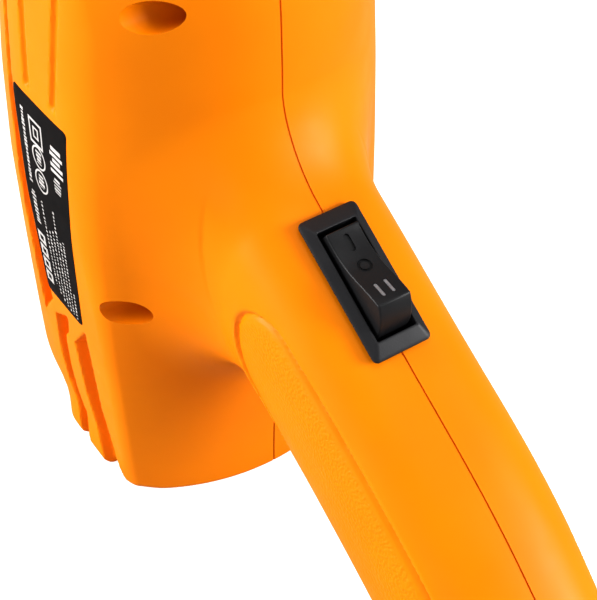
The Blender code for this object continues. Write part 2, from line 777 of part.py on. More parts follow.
def fan_impeller(mat):
    """Build the fan: hub, back disc and curved blades."""
    disc = FAN_LOW + 1.4
    profile = ((FAN_BORE, FAN_LOW), (FAN_RADIUS, FAN_LOW), (FAN_RADIUS, disc),
               (FAN_HUB, disc + 1.0), (FAN_HUB - 1.0, FAN_TOP), (FAN_BORE, FAN_TOP))
    fan = turned("fan_impeller", profile, mat, sides=36, hollow=True)
    for k in range(FAN_BLADES):
        join(fan, fan_blade(2.0 * math.pi * k / FAN_BLADES))
    fan.data.materials.clear()
    fan.data.materials.append(mat)
    tidy(fan)


def fan_blade(start, steps=5):
    """Return one backward-curved blade standing on the back disc."""
    rows = []
    root = FAN_HUB - 1.6
    pitch = (FAN_RADIUS - root - 0.7) / (steps - 1)
    for side in (BLADE_THICK / 2.0, -BLADE_THICK / 2.0):
        for k in range(steps):
            radius = root + pitch * k
            angle = start - 0.16 * k
            across = Vector((-math.sin(angle), math.cos(angle), 0.0)) * side
            foot = Vector((radius * math.cos(angle), radius * math.sin(angle), FAN_LOW + 1.0))
            foot += across
            crest = foot + Vector((0.0, 0.0, BLADE_RISE - 1.2 * k))
            rows.append((foot, crest))
    order = rows[:steps] + rows[:steps - 1:-1]
    return add_object("blade", skin([[a for a, _ in order], [b for _, b in order]]), None)


def electronics(board_mat, part_mat, cap_mat):
    """Build the rectifier board with its diodes and suppression capacitor."""
    top = BOARD_LOW + BOARD_THICK
    board = turned("rectifier_board", ((BOARD_RADIUS, BOARD_LOW), (BOARD_RADIUS, top),
                                       (BOARD_BORE, top), (BOARD_BORE, BOARD_LOW)),
                   board_mat, sides=32, hollow=True)
    tidy(board)
    for k in range(4):
        angle = math.pi / 4.0 + k * math.pi / 2.0
        mid = Vector((DIODE_CIRCLE * math.cos(angle), DIODE_CIRCLE * math.sin(angle),
                      top + DIODE_RADIUS + 0.4))
        along = Vector((-math.sin(angle), math.cos(angle), 0.0)) * DIODE_HALF
        rod("diode_%d" % (k + 1), mid - along, mid + along, DIODE_RADIUS, part_mat)
    box("suppression_capacitor", CAPACITOR_SIZE, CAPACITOR_CENTRE, cap_mat)


def rear_grille(mat):
    """Build the intake grille behind the rear lip, its hub flush with the rim."""
    low = REAR_WALL + GAP
    rings = [barrel_ring(3.0, WALL + 1.2, level=low),
             barrel_ring(3.0, WALL + 1.2, level=low + GRILLE_THICK)]
    grille = add_object("rear_grille", skin(rings), mat)
    for k in range(-4, 4):
        offset = (k + 0.5) * SLIT_PITCH
        reach = 2.0 * math.sqrt(SLIT_FIELD ** 2 - offset ** 2)
        cut(grille, box("slit", (reach, SLIT_WIDTH, 12.0), (1.5, offset, 4.0)))
    join(grille, turned("hub", ((HUB_RADIUS, 0.0), (HUB_RADIUS, low + 1.4)), None, sides=24))
    grille.data.materials.clear()
    grille.data.materials.append(mat)
    tidy(grille)


def cord_path():
    """Return the cord's path from the clamp down to the table."""
    axis = handle_axis()
    start = Vector((CORD_START[0], 0.0, CORD_START[1]))
    bend = start + axis * CORD_STRAIGHT
    points = [start, start + axis * CORD_STRAIGHT * 0.5]
    steps = 12
    for k in range(steps + 1):
        angle = HANDLE_END_ANGLE * (1.0 - k / steps)
        swing = math.sin(HANDLE_END_ANGLE) - math.sin(angle)
        drop = math.cos(angle) - math.cos(HANDLE_END_ANGLE)
        points.append(bend + Vector((swing, 0.0, -drop)) * CORD_BEND)
    points.append(points[-1] + Vector((CORD_RUN, 0.0, 0.0)))
    return points


def power_cord(mat):
    """Build the cord from the clamp to its cut end."""
    points = cord_path()
    sweep("power_cord", points, [CORD_RADIUS] * len(points), mat, sides=14)


def cord_guard(mat):
    """Build the flexible boot with its flange inside the handle."""
    axis = handle_axis()
    start = Vector((CORD_START[0], 0.0, CORD_START[1]))
    bend = start + axis * CORD_STRAIGHT
    points = []
    radii = []
    for along, radius in ((-12.0, 6.5), (-9.8, 6.5), (-3.0, 6.5), (0.0, 6.5)):
        points.append(bend + axis * along)
        radii.append(radius)
    sweep_angle = BOOT_LENGTH / CORD_BEND
    steps = 12
    for k in range(1, steps + 1):
        angle = HANDLE_END_ANGLE - sweep_angle * k / steps
        swing = math.sin(HANDLE_END_ANGLE) - math.sin(angle)
        drop = math.cos(angle) - math.cos(HANDLE_END_ANGLE)
        points.append(bend + Vector((swing, 0.0, -drop)) * CORD_BEND)
        radii.append((6.5 - 1.9 * k / steps) - (0.7 if k % 2 else 0.0))
    guard = sweep("cord_guard", points, radii, mat, sides=16, bore=CORD_RADIUS + GAP)
    tidy(guard)


def cord_clamp(mat, steel_mat):
    """Build the bar across the cord and its two screws."""
    axis = handle_axis()
    up = Vector((math.sin(HANDLE_END_ANGLE), 0.0, math.cos(HANDLE_END_ANGLE)))
    centre = Vector((CORD_START[0], 0.0, CORD_START[1])) + axis * 5.0
    turn = Matrix.Rotation(HANDLE_END_ANGLE, 4, 'Y')
    lift = CORD_RADIUS + FIT + 1.2
    bar = box("cord_clamp", (6.0, 22.0, 2.4), centre + up * lift, mat, turn)
    for side in (-8.0, 8.0):
        across = Vector((0.0, side, 0.0))
        cut(bar, rod("hole", centre + up * 1.0 + across, centre + up * 9.0 + across, 1.6))
    tidy(bar)
    for k, side in enumerate((-8.0, 8.0)):
        across = Vector((0.0, side, 0.0))
        foot = centre - up * 5.0 + across
        top = centre + up * (lift + 1.2 + 0.1) + across
        screw = rod("clamp_screw_%d" % (k + 1), foot, top + up * 0.3, 1.3, steel_mat)
        join(screw, rod("head", top, top + up * 1.7, 2.6))
        screw.data.materials.clear()
        screw.data.materials.append(steel_mat)
        tidy(screw)


def wiring(red, blue):
    """Build the leads between cord, switch, motor and heater."""
    low = -CASE_DEPTH - 9.0
    tail = Vector((CORD_START[0], 0.0, CORD_START[1]))
    live = [tail + Vector((-1.6, -1.6, 1.0)), (118.0, -6.0, 44.5), (98.0, -6.0, 55.0),
            switch_point(8.6, -2.0, low)]
    neutral = [tail + Vector((-1.6, 1.6, -1.0)), (112.0, 7.0, 40.0), (84.0, 8.0, 48.0),
               (58.0, 8.0, 56.0), (42.5, 8.0, 68.0), (36.3, 8.0, 84.0), (36.3, 6.0, 104.0),
               (33.5, 5.0, 122.0), (26.5, 5.0, 134.0)]
    low_lead = [switch_point(0.0, -2.0, low), (54.0, -8.0, 60.0), (42.5, -8.0, 69.0),
                (36.3, -9.0, 84.0), (36.0, -9.0, 104.0), (33.5, -8.0, 122.0),
                (25.5, -7.0, 134.0)]
    high_lead = [switch_point(-8.6, 2.0, low), (48.0, 2.0, 66.0), (40.0, 1.0, 74.0),
                 (36.5, -1.0, 88.0), (36.5, -1.0, 106.0), (34.0, -1.0, 122.0),
                 (26.5, -1.0, 134.0)]
    for name, knots, mat in (("live_lead", live, red), ("neutral_lead", neutral, blue),
                             ("heater_lead_low", low_lead, red),
                             ("heater_lead_high", high_lead, red)):
        points = smooth_path(knots, 3)
        sweep(name, points, [LEAD_RADIUS] * len(points), mat, sides=6)


def between(a, b, share):
    """Return the point at a share of the way from a to b."""
    return [p + (q - p) * share for p, q in zip(a, b)]


def rating_label(mat, rows=6, columns=4):
    """Build the thin tapering label on the side of the barrel."""
    rings = []
    for k in range(rows + 1):
        back = between(*LABEL_BACK_EDGE, k / rows)
        front = between(*LABEL_FRONT_EDGE, k / rows)
        inner = []
        outer = []
        for j in range(columns + 1):
            x, z = between(back, front, j / columns)
            row = barrel_row(z)
            angle = math.atan2(-row[2], x)
            reach = barrel_radius(angle, row) + GAP
            point = Vector((math.cos(angle) * reach, math.sin(angle) * reach, z))
            inner.append(point)
            outer.append(point + Vector((0.0, -LABEL_THICK, 0.0)))
        rings.append(inner + outer[::-1])
    add_object("rating_label", skin(rings), mat, smooth=False)


def main():
    """Build the whole heat gun."""
    clear_scene()
    orange = material("housing_orange", (0.84, 0.24, 0.012), 0.42)
    black = material("switch_black", (0.02, 0.02, 0.022), 0.45)
    grey = material("rocker_grey", (0.045, 0.045, 0.048), 0.4)
    guard = material("heat_guard_black", (0.018, 0.018, 0.018), 0.5)
    steel = material("nozzle_steel", (0.62, 0.61, 0.59), 0.28, 1.0)
    zinc = material("screw_steel", (0.5, 0.5, 0.51), 0.35, 1.0)
    mica = material("mica", (0.55, 0.47, 0.33), 0.5)
    ceramic = material("ceramic", (0.78, 0.74, 0.66), 0.6)
    wire = material("resistance_wire", (0.45, 0.42, 0.38), 0.4, 1.0)
    rubber = material("cord_rubber", (0.02, 0.02, 0.02), 0.65)
    brass = material("brass", (0.75, 0.55, 0.24), 0.3, 1.0)
    ferrite = material("ferrite", (0.06, 0.06, 0.065), 0.6)
    lamination = material("lamination", (0.35, 0.34, 0.33), 0.4, 1.0)
    board = material("board_green", (0.03, 0.16, 0.07), 0.5)
    blue = material("lead_blue", (0.03, 0.1, 0.5), 0.45)
    red = material("lead_red", (0.35, 0.05, 0.02), 0.45)
    label = material("label_black", (0.015, 0.015, 0.016), 0.35)
    nylon = material("inner_nylon", (0.1, 0.1, 0.105), 0.5)
    housing(orange)
    housing_screws(zinc)
    switch_frame(black)
    switch_rocker(grey)
    switch_terminals(brass)
    nozzle_tube(steel)
    front_collar(guard)
    heater(mica, ceramic, wire, zinc)
    air_guide(nylon)
    motor(zinc, lamination, ferrite, nylon)
    fan_impeller(nylon)
    electronics(board, guard, blue)
    rear_grille(guard)
    power_cord(rubber)
    cord_guard(rubber)
    cord_clamp(nylon, zinc)
    wiring(red, blue)
    rating_label(label)


main()
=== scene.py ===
"""Visual model of a hand-held heat gun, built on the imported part.

Shapes are worked out in millimetres in the part's own frame and turned into metres
when a mesh is made.  The barrel axis is Z, the handle leaves towards +X and the
housing parts at Y = 0.  The housing is a smooth distance field, meshed finely.
"""
import json
import math
from itertools import product

import bmesh
import bpy
import numpy as np
from mathutils import Euler, Matrix, Vector


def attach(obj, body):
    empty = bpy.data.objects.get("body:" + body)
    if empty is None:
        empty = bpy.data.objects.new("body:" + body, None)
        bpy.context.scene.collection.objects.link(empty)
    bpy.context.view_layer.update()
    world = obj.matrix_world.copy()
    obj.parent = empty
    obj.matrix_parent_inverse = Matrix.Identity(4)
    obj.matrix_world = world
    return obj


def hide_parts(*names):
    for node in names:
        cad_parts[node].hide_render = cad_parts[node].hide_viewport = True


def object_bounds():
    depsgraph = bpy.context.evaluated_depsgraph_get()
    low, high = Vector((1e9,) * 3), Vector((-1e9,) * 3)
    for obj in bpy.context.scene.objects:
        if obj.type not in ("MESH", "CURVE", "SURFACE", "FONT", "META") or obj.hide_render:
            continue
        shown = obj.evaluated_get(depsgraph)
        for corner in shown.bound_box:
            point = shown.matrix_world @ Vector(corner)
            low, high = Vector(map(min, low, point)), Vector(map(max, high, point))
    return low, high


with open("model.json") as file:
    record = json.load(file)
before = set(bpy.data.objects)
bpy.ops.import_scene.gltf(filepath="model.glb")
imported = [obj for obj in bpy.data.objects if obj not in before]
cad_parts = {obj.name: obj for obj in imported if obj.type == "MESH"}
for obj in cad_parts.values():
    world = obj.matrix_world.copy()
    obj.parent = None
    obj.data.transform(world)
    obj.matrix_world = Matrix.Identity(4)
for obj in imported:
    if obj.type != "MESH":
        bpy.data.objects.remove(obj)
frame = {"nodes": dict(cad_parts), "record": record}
CAD_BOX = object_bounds()
MM = 0.001

# ---------------------------------------------------------------- dimensions
# Barrel rows: height, front reach, half width, back reach, front arc, side reach.
BARREL = (
    (0.0, 41.4, 34.8, 37.5, 57.0, 60.0),
    (12.0, 41.0, 35.6, 38.3, 57.0, 60.0),
    (30.0, 41.2, 36.6, 39.3, 56.0, 58.0),
    (55.0, 41.3, 37.8, 40.3, 54.0, 54.0),
    (80.0, 41.2, 38.8, 40.8, 50.0, 46.0),
    (105.0, 40.9, 38.5, 40.6, 46.5, 42.0),
    (125.0, 40.0, 37.2, 39.6, 44.0, 42.0),
    (142.0, 38.7, 35.9, 38.0, 43.0, 42.0),
    (152.0, 36.5, 34.6, 35.6, 39.0, 42.0),
    (159.0, 33.0, 32.6, 32.8, 35.0, 45.0),
    (164.0, 29.5, 29.5, 29.5, 31.0, 50.0),
    (167.0, 27.0, 27.0, 27.0, 27.0, 50.0),
)
BARREL_TOP = 167.0
ROW_BLUR = 3.0
RIDGE_RADIUS = 1.7
RIDGE_GAIN = 1.0
RIDGE_FADE = (50.0, 130.0)
# Handle rows: front point x z, rear point x z, half width.
HANDLE = (
    (14.0, 121.3, 14.0, 68.4, 20.3),
    (34.0, 111.2, 36.0, 59.0, 20.3),
    (62.6, 96.8, 57.9, 49.6, 20.5),
    (75.6, 90.2, 65.2, 46.5, 20.5),
    (92.0, 81.7, 75.5, 42.1, 20.8),
    (108.2, 74.0, 89.4, 36.0, 21.1),
    (123.3, 65.3, 100.8, 29.9, 21.1),
    (135.0, 56.5, 110.3, 23.5, 20.8),
    (146.0, 48.0, 121.4, 15.9, 20.3),
    (155.2, 41.3, 131.3, 9.6, 19.6),
)
HANDLE_BLUR = 7.0
HANDLE_POWER = 2.6
HANDLE_END_RADIUS = 3.0
FILLET = 13.0
FILLET_GAIN = 9.0
WALL = 2.4
REAR_WALL = 2.6
REAR_LIP = 8.0
REAR_RECESS = 1.5
RIM_RADIUS = 1.0
RIM_GAIN = 1.5
RIM_FADE = (27.0, 33.5)
MOUTH_RADIUS = 24.6
MOUTH_ROUND = 0.8
SPLIT_GAP = 0.40
TONGUE_DEPTH = 0.42
TONGUE_THICK = 1.5
SKIN_STEP = 0.6
INNER_STEP = 2.0
OUTER_BOX = ((-46, -44, -4), (164, 44, 172))
INNER_BOX = ((-44, -42, -2), (162, 42, 170))
SHELL_ANGLE = 38.0
SLAB_SIZE = 400.0
SLAB_X = 60.0
SLAB_Z = 80.0
SIDE_CLEAR = 60.0

SWITCH_CENTRE = (71.3, 0.0, 93.28)
SWITCH_SLOPE = math.radians(26.84)
SEAT_HALF = (17.8, 8.6)
SEAT_CORNER = 2.0
SWITCH_HOLE = (13.9, 6.1)
SWITCH_REACH = 15.0
PIVOT_DEPTH = 1.0

POCKETS = ((30.6, 142.9), (29.6, 64.1), (-29.0, 140.0), (-29.0, 20.0), (127.6, 24.6))
POCKET_RADIUS = 3.55
LOW_POCKET_REACH = 4.3
BOSS_RADIUS = 5.2
SEAT_Y = -13.0
CORD_HOLE = (143.0, 0.0, 25.8)
CORD_HOLE_RADIUS = 6.8
CORD_SLOPE = math.radians(37.3)
CORD_SEAM_END = (146.5, 23.0)
CORD_SEAM_REACH = 10.5
PAD_START = 58.9
PAD_END = 128.0
PAD_HALF = 13.9
PAD_DEPTH = 0.5
PAD_LINE = 0.6
PAD_INSET = 2.0
GRAIN_FROM = 48.0
GRAIN_SIDE = 6.0
GRAIN_REAR = 0.35
GRAIN_FADE = (-2.0, 10.0)
RIB_FLARE = 1.3
WAIST = 1.9

LABEL_CORNERS = ((-5.2, 108.2), (17.9, 110.2), (17.0, 50.1), (0.8, 48.8))
LABEL_RADIUS = 1.6
LABEL_RISE = 0.12
LABEL_ROOT = -0.30
LABEL_SHARE = 0.996
LABEL_RINGS = 12
PRINT_ROOT = LABEL_RISE - 0.05
PRINT_RISE = 0.17


# ---------------------------------------------------------------- field maths
def smooth01(t):
    """Ease from 0 to 1."""
    t = np.clip(t, 0.0, 1.0)
    return t * t * (3.0 - 2.0 * t)


def ramp(value, start, stop):
    """Ease from 0 at start to 1 at stop."""
    return smooth01((value - start) / (stop - start))


def round_max(a, b, r):
    """Intersect two fields with a rounded edge."""
    return np.minimum(-r, np.maximum(a, b)) + np.hypot(np.maximum(r + a, 0), np.maximum(r + b, 0))


def round_min(a, b, r):
    """Join two fields with a fillet."""
    return np.maximum(r, np.minimum(a, b)) - np.hypot(np.maximum(r - a, 0), np.maximum(r - b, 0))


def dense_curve(xs, ys, sigma, step=0.25):
    """Linear interpolation blurred by a Gaussian, running straight out at both ends."""
    xs = np.asarray(xs, float)
    ys = np.asarray(ys, float)
    pad = 4.0 * sigma
    grid = np.arange(xs[0] - pad, xs[-1] + pad + step, step)
    low = (ys[1] - ys[0]) / (xs[1] - xs[0])
    high = (ys[-1] - ys[-2]) / (xs[-1] - xs[-2])
    vals = np.interp(grid, xs, ys)
    vals = np.where(grid < xs[0], ys[0] + (grid - xs[0]) * low, vals)
    vals = np.where(grid > xs[-1], ys[-1] + (grid - xs[-1]) * high, vals)
    half = int(3.5 * sigma / step)
    kern = np.exp(-0.5 * (np.arange(-half, half + 1) * step / sigma) ** 2)
    kern /= kern.sum()
    padded = np.pad(vals, half, mode="reflect", reflect_type="odd")
    soft = np.convolve(padded, kern, mode="valid")
    return lambda x: np.interp(x, grid, soft)


ROW_Z = [row[0] for row in BARREL]
FRONT, HALF, BACK, ARC, REACH = [dense_curve(ROW_Z, [row[k] for row in BARREL], ROW_BLUR)
                                 for k in range(1, 6)]


def barrel(x, y, z):
    """Signed distance to the bare barrel side, in millimetres."""
    front, half, back, arc, reach = FRONT(z), HALF(z), BACK(z), ARC(z), REACH(z)
    bow = np.hypot(x - (front - arc), y) - arc
    ratio = np.clip(x / reach, 0.0, 0.98)
    flat = np.abs(y) - half * (1.0 - ratio ** 4) ** 0.25
    rad = np.hypot(x, y) + 1e-6
    c = np.minimum(x, 0.0) / rad
    s = y / rad
    round_back = rad - 1.0 / np.sqrt((c / back) ** 2 + (s / half) ** 2 + 1e-12)
    side = np.where(x >= 0.0, flat, round_back)
    edge = RIDGE_RADIUS + RIDGE_GAIN * ramp(z, *RIDGE_FADE)
    return round_max(bow, side, edge * np.clip((166.0 - z) / 30.0, 0.03, 1.0))


ROWS = np.array(HANDLE)
MIDDLES = (ROWS[:, 0:2] + ROWS[:, 2:4]) / 2.0
ROW_S = np.concatenate([[0.0], np.cumsum(np.hypot(*np.diff(MIDDLES, axis=0).T))])
HANDLE_LENGTH = ROW_S[-1]
FX, FZ, GX, GZ, WIDE = [dense_curve(ROW_S, ROWS[:, k], HANDLE_BLUR) for k in range(5)]


def station(s):
    """Centre, unit axis towards the front and half depth of the handle section at s."""
    fx, fz, gx, gz = FX(s), FZ(s), GX(s), GZ(s)
    ax, az = fx - gx, fz - gz
    size = np.hypot(ax, az)
    return (fx + gx) / 2, (fz + gz) / 2, ax / size, az / size, size / 2


def ahead(x, z, s):
    """How far a point lies ahead of the section plane at s."""
    cx, cz, ax, az, _ = station(s)
    return (x - cx) * az - (z - cz) * ax


def solve_station(x, z):
    """Station whose section plane holds each point."""
    s = (x - MIDDLES[0, 0]) * 0.9 - (z - MIDDLES[0, 1]) * 0.35
    s = np.clip(s, 0.0, HANDLE_LENGTH)
    for _ in range(7):
        v = ahead(x, z, s)
        slope = (ahead(x, z, s + 0.5) - v) / 0.5
        slope = np.where(slope > -0.25, -1.0, slope)
        s = np.clip(s - v / slope, 0.0, HANDLE_LENGTH)
    return s


def handle_parts(x, y, z):
    """Signed distance to the bare handle, with the station and the depth offset."""
    s = solve_station(x, z)
    cx, cz, ax, az, deep = station(s)
    v = (x - cx) * ax + (z - cz) * az
    w = (x - cx) * az - (z - cz) * ax
    wide = WIDE(s)
    n = HANDLE_POWER
    q = (np.abs(v / deep) ** n + np.abs(y / wide) ** n) ** (1.0 / n) + 1e-6
    rad = np.hypot(v, y) + 1e-6
    gv = np.abs(v / deep) ** (n - 1) / deep
    gy = np.abs(y / wide) ** (n - 1) / wide
    lean = (np.abs(v) * gv + np.abs(y) * gy) / (rad * (np.hypot(gv, gy) + 1e-9))
    d = rad * (1.0 - 1.0 / q) * np.clip(lean, 0.55, 1.0)
    end = np.where(s >= HANDLE_LENGTH - 1e-6, w, -60.0)
    end = np.where(s <= 1e-6, -w - 10.0, end)
    return round_max(d, end, HANDLE_END_RADIUS), s, v


def body_form(x, y, z):
    """Signed distance to the plain outside of the housing."""
    b = barrel(x, y, z)
    h, _, v = handle_parts(x, y, z)
    turn = v / (np.hypot(v, y) + 1e-6)
    fillet = FILLET + FILLET_GAIN * smooth01((-turn - 0.35) / 0.6)
    return round_min(b, h, fillet)


def strip(x, z, points, width0, width1, lean, soft=0.55):
    """Mask of a tapering groove along (x, z) points on the side panel, its ends leaning."""
    best = np.full(np.shape(x), 1e3)
    total = sum(math.dist(a, b) for a, b in zip(points, points[1:]))
    run = 0.0
    cl, sl = math.cos(lean), math.sin(lean)
    for k, ((x0, z0), (x1, z1)) in enumerate(zip(points, points[1:])):
        length = math.dist((x0, z0), (x1, z1))
        ux, uz = (x1 - x0) / length, (z1 - z0) / length
        t = (x - x0) * ux + (z - z0) * uz
        across = (x - x0) * uz - (z - z0) * ux
        share = (run + np.clip(t, 0.0, length)) / total
        before = sl * across - cl * t if k == 0 else -t - 1.0
        after = cl * (t - length) - sl * across if k == len(points) - 2 else t - length - 1.0
        wide = 0.5 * (width0 + (width1 - width0) * share)
        best = np.minimum(best, np.maximum(np.abs(across) - wide, np.maximum(before, after)))
        run += length
    return smooth01(0.5 - best / (2.0 * soft))


GROOVES = (  # line of points, width at each end, depth, lean of the ends
    (((0.0, 172.0), (0.0, 131.0), (0.7, 120.0), (1.4, 111.0)), 1.4, 1.9, 1.0, 0.0),
    (((14.0, 172.0), (14.0, 140.0), (13.3, 126.0), (12.5, 112.5)), 2.6, 1.7, 1.0, 0.0),
    (((-9.4, 172.0), (-8.9, 125.0), (-7.2, 105.0)), 1.2, 2.0, 1.4, 0.0),
    (((-7.2, 106.0), (-5.9, 88.0), (-4.4, 66.0), (-2.6, 50.0), (-1.7, 41.2)), 2.2, 6.4, 2.5, 0.9),
    (((4.9, 42.3), (4.4, 36.0)), 6.2, 4.6, 2.9, 0.72),
    (((4.2, 41.0), (3.5, 34.0), (3.5, 25.0), (5.1, 17.0), (8.4, 9.4), (12.6, -8.0)),
     3.8, 3.2, 2.9, 0.72),
    (((14.1, 42.8), (15.0, 35.0), (16.4, 22.0), (19.4, 11.0), (27.4, -8.0)),
     7.2, 6.4, 2.9, 0.86),
)
# Side details fade in from the first number of a pair to the second.
SIDE_FADE = (24.0, 28.0)
PANEL_FADE = (33.0, 30.0)
FLARE_FADE = (12.0, 1.0)
FLARE_BACK = (-4.0, 5.0)
FLARE_FRONT = (29.0, 23.0)
WAIST_FADE = (17.0, 3.0)
WAIST_FRONT = (4.0, -6.0)
GRIP_FADE = (5.0, 8.0)
GRIP_FROM = 50.0


def detail(x, y, z):
    """Depth of the grooves, the drawn-in rim and the grip recess below the plain surface."""
    deep = np.zeros(np.shape(x))
    side = ramp(np.abs(y), *SIDE_FADE) * ramp(x, *PANEL_FADE)
    near = side > 0.0
    if near.any():
        part = np.zeros(int(near.sum()))
        for points, w0, w1, depth, lean in GROOVES:
            part = np.maximum(part, depth * strip(x[near], z[near], points, w0, w1, lean))
        nx, nz = x[near], z[near]
        flare = ramp(nz, *FLARE_FADE) * ramp(nx, *FLARE_BACK) * ramp(nx, *FLARE_FRONT)
        waist = ramp(nz, *WAIST_FADE) * ramp(nx, *WAIST_FRONT)
        deep[near] = (part - RIB_FLARE * flare + WAIST * waist) * side[near]
    grip = x > GRIP_FROM
    if grip.any():
        _, s, v = handle_parts(x[grip], y[grip], z[grip])
        edge = pad_field(s, v)
        sunk = PAD_DEPTH * smooth01(0.5 - edge / 0.9)
        sunk += PAD_LINE * np.exp(-((edge + 0.4) / 0.6) ** 2)
        deep[grip] += sunk * ramp(np.abs(y[grip]), *GRIP_FADE)
    return deep


def pad_field(s, v):
    """Distance outside the grip pad's outline on the handle's side."""
    start = np.hypot(np.minimum(s - PAD_START, 0.0), v)
    both = np.hypot(np.maximum(s - PAD_END, 0.0), v)
    return np.where(s < PAD_START, start, both) - PAD_HALF


def seat_cut(x, y, z):
    """Field that is positive in the flat seat cleared above the switch panel."""
    h = (math.cos(SWITCH_SLOPE), -math.sin(SWITCH_SLOPE))
    dx, dz = x - SWITCH_CENTRE[0], z - SWITCH_CENTRE[2]
    along = dx * h[0] + dz * h[1]
    up = -dx * h[1] + dz * h[0]
    qx = np.abs(along) - SEAT_HALF[0] + SEAT_CORNER
    qy = np.abs(y) - SEAT_HALF[1] + SEAT_CORNER
    outside = np.hypot(np.maximum(qx, 0), np.maximum(qy, 0))
    plan = outside + np.minimum(np.maximum(qx, qy), 0) - SEAT_CORNER
    return np.minimum(-plan, up)


def outer_field(x, y, z):
    """Signed distance to the finished outside of the housing, before its openings."""
    f = body_form(x, y, z) + detail(x, y, z)
    f = round_max(f, seat_cut(x, y, z), 0.5)
    rim = RIM_RADIUS + RIM_GAIN * ramp(np.abs(y), *RIM_FADE)
    f = round_max(f, -z, rim)
    return round_max(f, z - BARREL_TOP, MOUTH_ROUND)


def inner_field(x, y, z):
    """Signed distance to the space inside the housing."""
    f = body_form(x, y, z) + detail(x, y, z) + WALL
    for px, pz in POCKETS:
        f = round_max(f, BOSS_RADIUS - np.hypot(x - px, z - pz), 0.8)
    f = round_max(f, REAR_WALL - z, 0.6)
    return round_max(f, z - BARREL_TOP + REAR_WALL, 0.6)


# ---------------------------------------------------------------- surface nets
BATCH = 400000
POLISH_ROUNDS = 4
SLOPE_STEP = 0.06


def band_field(form, low, high, step, block=4):
    """Sample a field on a grid, evaluating it only near its surface."""
    low = np.asarray(low, float)
    cells = np.ceil((np.asarray(high) - low) / (step * block)).astype(int)
    axes = [low[k] + step * np.arange(cells[k] * block + 1) for k in range(3)]
    rough = form(*np.meshgrid(*[a[::block] for a in axes], indexing="ij"))
    close = np.abs(rough) < step * block * 2.2
    active = np.zeros(tuple(cells), bool)
    for i, j, k in product((0, 1), repeat=3):
        active |= close[i:i + cells[0], j:j + cells[1], k:k + cells[2]]
    sign = np.where(rough[:-1, :-1, :-1] < 0.0, -9.0, 9.0).astype(np.float32)
    for axis in range(3):
        active = np.repeat(active, block, axis)
        sign = np.repeat(sign, block, axis)
    field = np.pad(sign, [(0, 1)] * 3, mode="edge")
    mask = np.zeros(field.shape, bool)
    n = active.shape
    for i, j, k in product((0, 1), repeat=3):
        mask[i:i + n[0], j:j + n[1], k:k + n[2]] |= active
    where = np.nonzero(mask)
    for start in range(0, len(where[0]), BATCH):
        part = [w[start:start + BATCH] for w in where]
        field[tuple(part)] = form(*[axes[k][part[k]] for k in range(3)])
    return field, axes


def net_mesh(form, low, high, step):
    """Mesh a field's zero surface with surface nets and pull the points onto it."""
    field, axes = band_field(form, low, high, step)
    inside = field < 0.0
    n = np.array(field.shape) - 1
    count = np.zeros(tuple(n), np.int8)
    for i, j, k in product((0, 1), repeat=3):
        count += inside[i:i + n[0], j:j + n[1], k:k + n[2]]
    mixed = (count > 0) & (count < 8)
    cell = np.array(np.nonzero(mixed)).T
    index = np.full(tuple(n), -1, np.int32)
    index[mixed] = np.arange(len(cell))
    points = cell_points(field, cell, axes, step)
    quads = []
    for axis in range(3):
        quads.append(net_quads(inside, index, axis))
    points = pull_to_surface(form, points, step)
    return points, np.concatenate(quads)


def cell_points(field, cell, axes, step):
    """Average the surface crossings of each cell's twelve edges."""
    total = np.zeros((len(cell), 3))
    hits = np.zeros(len(cell))
    for axis in range(3):
        b, c = [k for k in range(3) if k != axis]
        for db, dc in product((0, 1), repeat=2):
            start = cell.copy()
            start[:, b] += db
            start[:, c] += dc
            stop = start.copy()
            stop[:, axis] += 1
            f0 = field[tuple(start.T)]
            f1 = field[tuple(stop.T)]
            cross = (f0 < 0.0) != (f1 < 0.0)
            t = np.where(cross, f0 / np.where(cross, f0 - f1, 1.0), 0.0)
            place = start.astype(float)
            place[:, axis] += t
            total[cross] += place[cross]
            hits += cross
    mean = total / hits[:, None]
    return np.stack([axes[k][0] + step * mean[:, k] for k in range(3)], 1)


def net_quads(inside, index, axis):
    """Quads round every grid edge along one axis that crosses the surface."""
    shape = inside.shape
    first = [slice(None)] * 3
    second = [slice(None)] * 3
    first[axis] = slice(0, shape[axis] - 1)
    second[axis] = slice(1, None)
    a = inside[tuple(first)]
    b = inside[tuple(second)]
    edge = np.array(np.nonzero(a != b)).T
    p, q = [(1, 2), (2, 0), (0, 1)][axis]
    keep = (edge[:, p] > 0) & (edge[:, q] > 0)
    keep &= (edge[:, p] < shape[p] - 1) & (edge[:, q] < shape[q] - 1)
    edge = edge[keep]
    corners = []
    for dp, dq in ((-1, -1), (0, -1), (0, 0), (-1, 0)):
        c = edge.copy()
        c[:, p] += dp
        c[:, q] += dq
        corners.append(index[tuple(c.T)])
    quad = np.stack(corners, 1)
    flip = ~a[tuple(edge.T)]
    quad[flip] = quad[flip][:, ::-1]
    return quad


def pull_to_surface(form, points, step):
    """Move points along the field's slope until they lie on its surface."""
    p = points.copy()
    for _ in range(POLISH_ROUNDS):
        value = form(p[:, 0], p[:, 1], p[:, 2])
        slope = np.empty_like(p)
        for k in range(3):
            q = p.copy()
            q[:, k] += SLOPE_STEP
            slope[:, k] = (form(q[:, 0], q[:, 1], q[:, 2]) - value) / SLOPE_STEP
        size = np.maximum((slope ** 2).sum(1), 0.2)
        move = -slope * (value / size)[:, None]
        far = np.linalg.norm(move, axis=1)
        move *= np.minimum(1.0, 0.5 * step / np.maximum(far, 1e-9))[:, None]
        p += move
    return p


